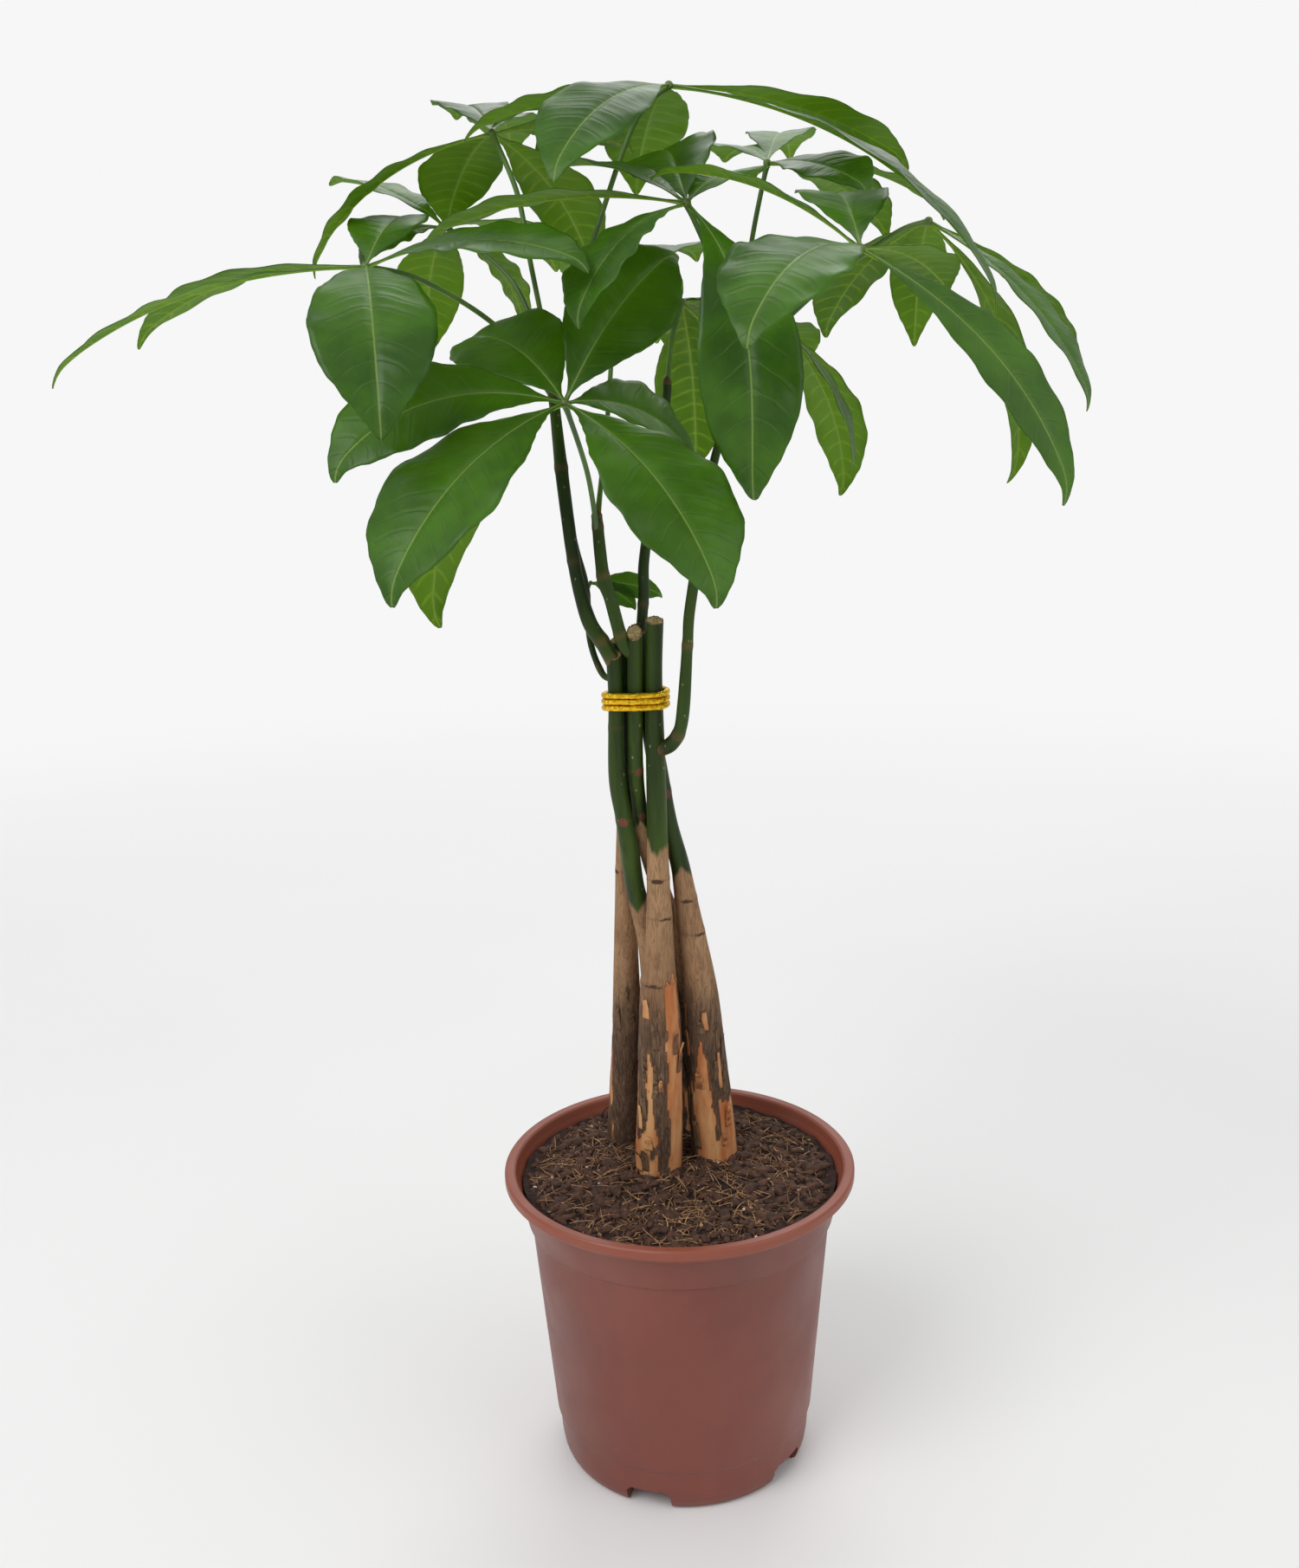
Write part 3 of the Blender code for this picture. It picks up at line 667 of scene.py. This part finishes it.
def make_leaf(name, index, petiole, leaflets, materials):
    share = SMALL_LEAVES.get(name, 1.0)
    build = Builder()
    path = smooth_path([(*p, PETIOLE_RADIUS * share) for p in petiole], PETIOLE_RINGS)
    # The stalk is thicker at its foot and where it meets the leaflets.
    swollen = []
    for i, p in enumerate(path):
        foot = 0.30 * math.exp(-((i / 5) ** 2))
        head = 0.35 * math.exp(-(((PETIOLE_RINGS - i) / 4) ** 2))
        swollen.append((*p[:3], p[3] * (0.74 + foot + head)))
    brown = [0.7 * math.exp(-((i / 4) ** 2)) for i in range(len(path)) for _ in range(PETIOLE_SIDES)]
    add_tube(build, swollen, PETIOLE_SIDES, 2, brown=brown)
    add_hub(build, petiole[-1], HUB_RADIUS * share)
    for k, leaflet in enumerate(leaflets):
        tone = 0.9 if share < 1 else rng.uniform(0.0, 0.6)
        add_leaflet(build, petiole[-1], leaflet, 7 * index + k, tone)
    stands_for(build.finish(f"{name}_fine", materials), name)


# -------- trunks and shoots
TRUNK_RINGS, TRUNK_SIDES, TOP_RINGS = 320, 72, 30  # TOP_RINGS: those that the saw cut slants
SHOOT_RINGS, SHOOT_SIDES = 180, 28
# How much of each trunk has shed its outer bark near the soil.
PEELED = {"trunk_1": 0.10, "trunk_2": 0.02, "trunk_3": 0.03, "trunk_4": -0.12, "trunk_5": 0.0}
# Long peeled strips: bearing in degrees, and the heights between which the bark has gone.
STRIPS = {"trunk_1": (322, 150, 252), "trunk_3": (325, 150, 182)}
CUT_TOP = ((0.93, 0.1), (0.82, -0.1), (0.6, -0.35), (0.3, -0.45), (0.08, -0.5))  # share, depth
# How far each sawn top slopes down towards the front, in millimetres per millimetre.
SLANT = {"trunk_1": 0.35, "trunk_2": 0.9, "trunk_3": 0.5, "trunk_4": 0.3, "trunk_5": 0.55}
# Loose flakes of bark on each lower trunk.
FLAKES = {"trunk_1": 16, "trunk_2": 8, "trunk_3": 12, "trunk_4": 6, "trunk_5": 8}


def step(value, low, high):
    """A smooth 0 to 1 step, which runs down where low is over high."""
    t = min(1.0, max(0.0, (value - low) / (high - low)))
    return t * t * (3 - 2 * t)


def round_noise(turn, z, wide, tall, seed):
    """Noise that closes round a trunk."""
    return noise.noise(Vector((math.cos(turn) * wide, math.sin(turn) * wide, z * tall + seed)))


def peel_share(name, turn, z, seed):
    """1 where the outer bark has come off, which is likelier lower down."""
    patch = round_noise(turn, z, 1.5, 0.022, seed) + 0.28 * round_noise(turn, z, 4.5, 0.09, seed + 5)
    patch += PEELED[name] + 0.12 * step(z, 172, 152)
    if name in STRIPS:
        bearing, low, high = STRIPS[name]
        off = abs((math.degrees(turn) + 180 - bearing + 180) % 360 - 180)
        ragged = 9 * round_noise(turn, z, 3, 0.06, seed + 8)
        inside = step(z + ragged, high, high - 3) * step(z, low - 9, low)
        patch += 0.9 * step(off + ragged, 34, 26) * inside
    held = 0.16 + 0.5 * step(z, 165, 250)
    return step(patch, held, held + 0.04)


def scar_share(point, facing, scars):
    """A leaf scar: a mark rounded below and flat above, on a faint ring round the stem."""
    mark = 0.0
    for height, bearing, tall in scars:
        off = abs((facing - bearing + 180) % 360 - 180) / 32
        rise = (point.z - height + 0.5 * off) / (tall if point.z < height else 0.6 * tall)
        ring = 0.3 * step(abs(point.z - height), 0.7, 0.2)
        mark = max(mark, step(off * off + rise * rise, 1.25, 0.75), ring)
    return mark


def add_flakes(build, name, path):
    """Papery flakes of outer bark that stand off the lower trunk at one end."""
    rows, columns = 9, 6
    for _ in range(FLAKES[name]):
        low = rng.uniform(150, 236)
        first = min(range(len(path)), key=lambda k: abs(path[k][2] - low))
        length, wide = rng.randint(4, 12), rng.uniform(0.16, 0.42)
        bearing, curl = rng.uniform(-2.6, -0.4), rng.uniform(0.6, 2.4)
        top, under = [], []
        for r in range(rows):
            share = r / (rows - 1)
            p = path[min(first + round(length * share), len(path) - 1)]
            lift = 0.1 + curl * share**2.2
            for c in range(columns):
                turn = bearing + wide * (c / (columns - 1) - 0.5) * (1.1 - 0.5 * share * share)
                ragged = 1.2 * noise.noise(Vector((c * 0.9, low, r * 0.4))) * share
                out = level_way(turn)
                spot = Vector((p[0], p[1], p[2] + ragged)) + out * (p[3] * 0.99 + lift)
                top.append(spot)
                under.append(spot - out * 0.14)
        add_sheet(build, top, under, rows, columns, (0, 0), low=0.7, peel=rng.choice((0.0, 0.0, 1.0)))


def make_trunk(name, index, materials):
    """A braided trunk: bark below, green skin above, and a slanting sawn top."""
    sides = TRUNK_SIDES
    path = smooth_path(TRUNKS[name], TRUNK_RINGS)
    bark_top, scars = BARK_TOP[name], SCARS[name]
    build = Builder()
    seed = 9.3 * index

    def shape(i, turn, spot):
        brown = step(spot.z, bark_top + 6, bark_top - 6)
        scale = 0.972 + 0.025 * round_noise(turn, spot.z, 1.3, 0.03, seed)
        scale += brown * (0.014 * round_noise(turn, spot.z, 6, 0.05, seed) + 0.006)
        scale += brown * 0.010 * round_noise(turn, spot.z, 16, 0.16, seed)
        scale -= brown * 0.035 * peel_share(name, turn, spot.z, seed)
        for height, _, _ in scars:
            scale += 0.035 * math.exp(-(((spot.z - height) / 1.8) ** 2))
        return scale

    points = tube_points(path, sides, shape)
    for i in range(TRUNK_RINGS - TOP_RINGS, TRUNK_RINGS + 1):
        for j in range(sides):
            point = points[i * sides + j]
            fray = 0.5 * round_noise(2 * math.pi * j / sides, 0, 6, 1, seed + 3)
            slant = SLANT[name] * (point.y - path[i][1])
            point.z += step(i, TRUNK_RINGS - TOP_RINGS, TRUNK_RINGS) * (slant + fray)
    green, scarred, peeled, low = [], [], [], []
    for i, p in enumerate(path):
        for j in range(sides):
            turn = 2 * math.pi * j / sides
            point = points[i * sides + j]
            ragged = 12 * round_noise(turn, 0, 0.8, 1, seed + 2)
            ragged += 3 * round_noise(turn, point.z, 2.4, 0.05, seed)
            green.append(step(point.z, bark_top + ragged - 1.6, bark_top + ragged + 1.6))
            facing = math.degrees(math.atan2(point.y - p[1], point.x - p[0]))
            scarred.append(scar_share(point, facing, scars))
            peeled.append(peel_share(name, turn, point.z, seed))
            fade = 16 * round_noise(turn, point.z, 1.4, 0.03, seed + 7)
            low.append(step(point.z + fade, 262, 205))
    values = {"green": green, "scar": scarred, "peel": peeled, "low": low}
    build.add(points, grid_faces(len(path), sides, wrap=True), 0, **values)
    build.faces.append(tuple(range(sides))[::-1])
    build.slots.append(0)
    # The sawn top: rings that shrink to a slightly sunken, frayed middle.
    spot, along = frames_along(path)[-1][:2]
    previous = rim = len(points) - sides
    for share, depth in CUT_TOP:
        start = len(build.points)
        ring = [
            spot + along * (depth + 0.6 * round_noise(2 * math.pi * j / sides, share * 9, 9, 1, seed))
            + (points[rim + j] - spot) * share for j in range(sides)
        ]
        build.add(ring, [], 1, rim=1.0 if share > 0.9 else 0.0)
        for j in range(sides):
            k = (j + 1) % sides
            build.faces.append((previous + j, previous + k, start + k, start + j))
            build.slots.append(1)
        previous = start
    build.faces.append(tuple(range(previous, previous + sides)))
    build.slots.append(1)
    add_flakes(build, name, path)
    stands_for(outward(build.finish(f"{name}_fine", materials)), name)


def make_shoot(name, materials):
    """A green shoot, swollen and browner at its joints, with a bud at its tip."""
    path = smooth_path(SHOOTS[name], SHOOT_RINGS)
    build = Builder()
    rings, brown = [], []
    for i, p in enumerate(path):
        swell = sum(math.exp(-(((p[2] - height) / 1.7) ** 2)) for height in SHOOT_NODES[name])
        rings.append((*p[:3], p[3] * (0.96 + 0.08 * min(swell, 1.0))))
        low = math.exp(-((i / 9) ** 2))
        brown += [min(1.0, 0.28 * min(swell, 1.0) + 0.9 * low)] * SHOOT_SIDES

    def shape(i, turn, spot):
        return 1 + 0.03 * noise.noise(Vector((math.cos(turn) * 2, math.sin(turn) * 2, spot.z * 0.1)))

    add_tube(build, rings, SHOOT_SIDES, 0, shape, brown=brown)
    tip = path[-1]
    bud = [(tip[0], tip[1], tip[2] + rise, tip[3] * wide)
           for rise, wide in ((-1.2, 0.8), (0, 1.0), (1.2, 0.95), (2.6, 0.6), (3.6, 0.15))]
    add_tube(build, bud, 20, 0, brown=0.5)
    stands_for(build.finish(f"{name}_fine", materials), name)


# -------- tie
TIE_WIRE, TIE_PITCH, TIE_TURNS, TIE_START, TIE_CLEAR, TIE_TAIL = 1.2, 2.8, 3, 380.6, 0.5, 9.0


def make_tie(material):
    """One wire wound round the gathered trunks, pulled straight from trunk to trunk."""
    waist = [
        min(smooth_path(knots, 200), key=lambda p: abs(p[2] - TIE_START - TIE_PITCH * 1.5))
        for knots in TRUNKS.values()
    ]
    steps, path = 36, []
    for i in range(steps * TIE_TURNS + 1):
        turn = math.radians(90) + 2 * math.pi * i / steps
        out = level_way(turn)
        held = max(waist, key=lambda p: p[0] * out.x + p[1] * out.y + p[3])
        spot = Vector(held[:3]) + out * (held[3] + TIE_CLEAR + TIE_WIRE)
        path.append((spot.x, spot.y, TIE_START + TIE_PITCH * i / steps, TIE_WIRE))
    first, last = path[0], path[-1]
    tails = [(first[0] + 3, first[1] + TIE_TAIL, first[2] - 3, TIE_WIRE)]
    ends = [(last[0] - 3, last[1] + TIE_TAIL, last[2] + 3, TIE_WIRE)]
    build = Builder()
    fine = smooth_path([*tails, *path, *ends], 900)
    add_tube(build, fine, 16, 0, lambda i, turn, spot: 1.1 + 0.05 * math.sin(turn * 2 + i * 0.5))
    stands_for(build.finish("wire_tie_fine", [material]), "wire_tie")


# -------- pot
POT_PROFILE = [
    (0, 8), (50, 8), (51, 0), (57.6, 0), (59.8, 1.6), (61.2, 5), (62.0, 10), (62.8, 21.5),
    (64.0, 23.5), (72.6, 123), (72.9, 125.5), (74.6, 127), (78.4, 143), (81.6, 144.4),
    (82.2, 146.4), (84.4, 146.8), (85, 147.6), (85, 151), (84.2, 152), (80.6, 152),
    (79.6, 151.2), (78.6, 148), (76.4, 143), (72.8, 128.6), (71.2, 124), (60.2, 11), (0, 10.6),
]
POT_SEGMENTS = 192
CORNER_SHARE, CORNER_MOST, CORNER_STEPS = 0.28, 0.6, 4  # each corner's cut: share of a side, most
FOOT_NOTCHES, NOTCH_WIDTH, NOTCH_HEIGHT, NOTCH_START = 5, 22.0, 10.0, 252.0
NOTCH_FROM, NOTCH_DEEP, NOTCH_CORNER = 47, 22, 2.4


def rounded(profile):
    """The profile with each inner corner replaced by a small arc-like curve."""
    made = [profile[0]]
    for before, corner, after in zip(profile, profile[1:], profile[2:]):
        b, c, a = Vector(before), Vector(corner), Vector(after)
        cut = min(CORNER_MOST, CORNER_SHARE * (b - c).length, CORNER_SHARE * (a - c).length)
        start, end = c + (b - c).normalized() * cut, c + (a - c).normalized() * cut
        for k in range(CORNER_STEPS + 1):
            t = k / CORNER_STEPS
            made.append(tuple(start * (1 - t) ** 2 + c * 2 * t * (1 - t) + end * t**2))
    return [*made, profile[-1]]


def lathe(profile, segments):
    """The turned profile, whose two ends lie on the axis."""
    inner = profile[1:-1]
    points = [(0, 0, profile[0][1]), (0, 0, profile[-1][1])]
    for turn in (2 * math.pi * j / segments for j in range(segments)):
        for radius, z in inner:
            points.append((radius * math.cos(turn), radius * math.sin(turn), z))
    rows, faces = len(inner), []
    for j in range(segments):
        here, there = 2 + j * rows, 2 + (j + 1) % segments * rows
        faces.append((0, there, here))
        faces.append((1, here + rows - 1, there + rows - 1))
        faces += [(here + k, there + k, there + k + 1, here + k + 1) for k in range(rows - 1)]
    return points, faces


def make_pot(material):
    """The turned pot with drain notches cut in its foot."""
    build = Builder()
    build.add(*lathe(rounded(POT_PROFILE), POT_SEGMENTS))
    pot = outward(build.finish("pot_fine", [material]))
    for k in range(FOOT_NOTCHES):
        turn = math.radians(NOTCH_START + 360 / FOOT_NOTCHES * k)
        out, side = level_way(turn), level_way(turn + math.pi / 2)
        low = NOTCH_HEIGHT - NOTCH_CORNER
        corners = [(-1, -2), (1, -2), (1, low), (0.76, NOTCH_HEIGHT), (-0.76, NOTCH_HEIGHT), (-1, low)]
        ring = [out * NOTCH_FROM + side * w * NOTCH_WIDTH / 2 + Vector((0, 0, z)) for w, z in corners]
        n = len(ring)
        faces = [tuple(range(n)), tuple(range(2 * n - 1, n - 1, -1))]
        faces += [(j, (j + 1) % n, n + (j + 1) % n, n + j) for j in range(n)]
        cut = Builder()
        cut.add([*ring, *(p + out * NOTCH_DEEP for p in ring)], faces)
        cutter = outward(cut.finish(f"notch_{k + 1}", []))
        taken = pot.modifiers.new(f"notch_{k + 1}", "BOOLEAN")
        taken.operation, taken.solver, taken.object = "DIFFERENCE", "EXACT", cutter
        bpy.context.view_layer.update()
        seen = pot.evaluated_get(bpy.context.evaluated_depsgraph_get())
        cut_mesh = bpy.data.meshes.new_from_object(seen)
        pot.modifiers.clear()
        pot.data = cut_mesh
        bpy.data.objects.remove(cutter, do_unlink=True)
    pot.data.set_sharp_from_angle(angle=math.radians(35))
    stands_for(pot, "pot")


# -------- soil
SOIL_LEVEL, MOUND, MOUND_SPREAD, MOUND_AT = 145.0, 6.0, 28.0, (0.0, 18.0)
SOIL_RADIUS, SOIL_RINGS, SOIL_SEGMENTS = 76.4, 110, 260
SOIL_SKIRT = [(75.6, 142.8), (72.0, 128.8), (70.4, 123.8), (59.8, 11.6)]  # down inside the pot
CRUMBS, CHIPS, FIBRES = 1900, 130, 1700
CRUMB_REACH, CHIP_REACH, FIBRE_REACH, FIBRE_END = 73, 70, 71, 74  # radii within which they lie
TWIG = [(-40, 60, 147, 0.5), (-37, 62, 150.5, 0.5), (-33, 61, 151.4, 0.45), (-29, 58, 150.8, 0.3)]


def on_soil(reach):
    """A random spot on the soil, as x, y and a heading."""
    radius, turn = reach * math.sqrt(rng.random()), rng.uniform(0, 2 * math.pi)
    return radius * math.cos(turn), radius * math.sin(turn), rng.uniform(0, 2 * math.pi)


def soil_height(x, y):
    """The low mound with its lumps and grit."""
    away = math.hypot(x - MOUND_AT[0], y - MOUND_AT[1])
    lumps = 0.5 * math.sin(0.21 * x + 1.0) * math.cos(0.17 * y) + 0.35 * math.sin(0.39 * y + 0.3 * x)
    grit = 0.0
    for size, tall in ((9, 1.1), (4, 0.8), (1.8, 0.5)):
        grit += tall * noise.noise(Vector((x / size, y / size, size)))
    return SOIL_LEVEL + MOUND * math.exp(-0.5 * (away / MOUND_SPREAD) ** 2) + lumps + grit


def crumb(build, x, y, z, size, stretch, slot, turn):
    """A small rough grain."""
    base = bmesh.new()
    bmesh.ops.create_icosphere(base, subdivisions=2, radius=1)
    spin = Matrix.Rotation(turn, 3, "Z") @ Matrix.Rotation(rng.uniform(-0.5, 0.5), 3, "X")
    points = []
    for v in base.verts:
        bumpy = 1 + 0.35 * noise.noise(v.co * 1.7 + Vector((x, y, z)))
        local = Vector((v.co.x * stretch, v.co.y, v.co.z * 0.7)) * size * bumpy
        points.append(Vector((x, y, z)) + spin @ local)
    faces = [tuple(v.index for v in f.verts) for f in base.faces]
    base.free()
    build.add(points, faces, slot)


def make_soil(materials):
    """The soil's closed body, with crumbs, chips, a twig and fibres on it."""
    build = Builder()
    rings, segments = SOIL_RINGS, SOIL_SEGMENTS
    points = [(0, 0, soil_height(0, 0))]
    for i in range(1, rings + 1):
        ring = circle(SOIL_RADIUS * i / rings, segments)
        points += [(x, y, soil_height(x, y)) for x, y in ring]
    faces = [(0, 1 + j, 1 + (j + 1) % segments) for j in range(segments)]
    faces += grid_faces(rings, segments, wrap=True, start=1)
    skirt = len(points)
    for radius, z in SOIL_SKIRT:
        points += [(x, y, z) for x, y in circle(radius, segments)]
    last = skirt - segments
    faces += grid_faces(len(SOIL_SKIRT) + 1, segments, wrap=True, start=last)
    faces.append(tuple(range(len(points) - segments, len(points))))
    build.add(points, faces)
    for _ in range(CRUMBS):
        x, y, _ = on_soil(CRUMB_REACH)
        pick = rng.random()
        slot = 1 if pick < 0.93 else 2 if pick < 0.98 else 3
        size = rng.uniform(0.5, 1.9) if slot == 1 else rng.uniform(0.4, 0.9)
        height = soil_height(x, y) + size * 0.25
        crumb(build, x, y, height, size, rng.uniform(1, 2.2), slot, rng.uniform(0, 6.3))
    for _ in range(CHIPS):
        x, y, _ = on_soil(CHIP_REACH)
        size = rng.uniform(1.5, 2.9)
        height = soil_height(x, y) + 0.3 * size
        crumb(build, x, y, height, size, rng.uniform(1.1, 2.0), 1, rng.uniform(0, 6.3))
    add_tube(build, smooth_path(TWIG, 30), 8, 1)
    for _ in range(FIBRES):
        x, y, heading = on_soil(FIBRE_REACH)
        length, bend = rng.uniform(2.5, 14), rng.uniform(-0.10, 0.10)
        thin, arch, tilt = rng.uniform(0.12, 0.38), rng.uniform(0, 0.9), rng.uniform(-0.04, 0.2)
        far = (x + math.cos(heading) * length, y + math.sin(heading) * length)
        if math.hypot(*far) > FIBRE_END:
            continue
        near_z, far_z = soil_height(x, y) + thin, soil_height(*far) + thin + tilt * length
        path = []
        for k in range(9):
            share = k / 8
            path.append((x, y, near_z + (far_z - near_z) * share + arch * math.sin(math.pi * share),
                         thin * (1 - 0.5 * share)))
            x, y = x + math.cos(heading) * length / 8, y + math.sin(heading) * length / 8
            heading += bend
        add_tube(build, path, 5, rng.choice((1, 2, 2, 2, 4)))
    stands_for(outward(build.finish("soil_fine", materials)), "soil")


# -------- build
def make_plant():
    leaf_top = leaf_material(
        "leaf_top", dark=rgb(24, 57, 13), light=rgb(64, 107, 20), vein=rgb(132, 158, 84),
        glow=rgb(150, 196, 26), rough=0.38, under=False)
    leaf_under = leaf_material(
        "leaf_under", dark=rgb(84, 126, 26), light=rgb(118, 158, 32), vein=rgb(170, 194, 92),
        glow=rgb(200, 232, 60), rough=0.5, under=True)
    stalk, stem, bark, cut = petiole_material(), stem_material(), bark_material(), cut_wood_material()
    for index, (name, (petiole, leaflets)) in enumerate(LEAVES.items()):
        make_leaf(name, index, petiole, leaflets, [leaf_top, leaf_under, stalk])
    for index, name in enumerate(TRUNKS):
        make_trunk(name, index, [bark, cut])
    for name in SHOOTS:
        make_shoot(name, [stem])
    make_tie(gold_material())
    make_pot(pot_material())
    make_soil([
        soil_material(), litter_material("bark_chips", rgb(40, 24, 17), rgb(92, 58, 40)),
        litter_material("coir_fibres", rgb(124, 90, 60), rgb(186, 146, 104)),
        litter_material("perlite", rgb(190, 176, 164), rgb(226, 216, 206)),
        litter_material("old_straw", rgb(92, 62, 42), rgb(146, 108, 74)),
    ])


# -------- studio
CAMERA_AT = AXIS + Vector((-0.010, -0.730, 0.535))
CAMERA_PITCH, CAMERA_ROLL, CAMERA_LENS, SENSOR = 75.2, -1.4, 45.6, 36
BACKDROP = (0.93, 0.93, 0.93, 1)
FLOOR_HALF, FLOOR_FADE = 6.0, (0.55, 1.9)  # metres; the fade starts and ends at these distances
WORLD_STRENGTH = 0.62
LAMP_AIM = Vector((0, 0, 0.33))
LAMPS = {  # place, watts and side
    "key": ((-1.2, -1.3, 2.0), 27, 1.4),
    "fill": ((1.7, -1.1, 1.3), 8, 1.6),
    "back": ((0.3, 1.6, 1.9), 14, 1.5),
}


def make_floor():
    """A pale floor that fades into the backdrop far from the plant, so that no horizon shows."""
    half, mesh = FLOOR_HALF, bpy.data.meshes.new("floor")
    corners = [(-half, -half, 0), (half, -half, 0), (half, half, 0), (-half, half, 0)]
    mesh.from_pydata(corners, [], [(0, 1, 2, 3)])
    n = Nodes("pale_floor")
    n.principled(n.mix(n.noise(3, 2), (0.80, 0.80, 0.80, 1), (0.84, 0.84, 0.84, 1)), 0.7)
    away = n.new("VectorMath", operation="LENGTH")
    n.link(n.new("TexCoord").outputs["Object"], away.inputs[0])
    faded = n.ramp(away.outputs["Value"], *FLOOR_FADE)
    seen = n.new("LightPath").outputs["Is Camera Ray"]
    pale = set_inputs(n.new("Emission"), Color=BACKDROP)
    n.link(n.math("MULTIPLY", faded, seen), n.blend(pale))
    mesh.materials.append(n.material)
    into_scene(bpy.data.objects.new("floor", mesh))


def make_world():
    """Even white light from all round; the camera itself sees the backdrop's grey."""
    world = bpy.data.worlds.new("studio")
    bpy.context.scene.world = world
    world.use_nodes = True
    tree = world.node_tree
    lit = set_inputs(tree.nodes["Background"], Color=(1, 1, 1, 1), Strength=WORLD_STRENGTH)
    shown = set_inputs(tree.nodes.new("ShaderNodeBackground"), Color=BACKDROP, Strength=1)
    seen = tree.nodes.new("ShaderNodeLightPath").outputs["Is Camera Ray"]
    tree.links.new(seen, blend_shaders(tree, lit, shown, tree.nodes["World Output"]))


def make_studio():
    make_floor()
    make_world()
    for name, (at, watts, side) in LAMPS.items():
        data = bpy.data.lights.new(name, "AREA")
        data.energy, data.size = watts, side
        lamp = into_scene(bpy.data.objects.new(name, data))
        lamp.location = at
        lamp.rotation_euler = (LAMP_AIM - Vector(at)).to_track_quat("-Z", "Y").to_euler()
    data = bpy.data.cameras.new("camera")
    data.sensor_fit, data.sensor_width, data.lens = "HORIZONTAL", SENSOR, CAMERA_LENS
    camera = into_scene(bpy.data.objects.new("camera", data))
    camera.location = CAMERA_AT
    turn = Matrix.Rotation(math.radians(CAMERA_PITCH), 4, "X")
    turn @= Matrix.Rotation(math.radians(CAMERA_ROLL), 4, "Z")
    camera.rotation_euler = turn.to_euler()
    bpy.context.scene.camera = camera
    bpy.context.scene.view_settings.view_transform = "Standard"


make_plant()
make_studio()
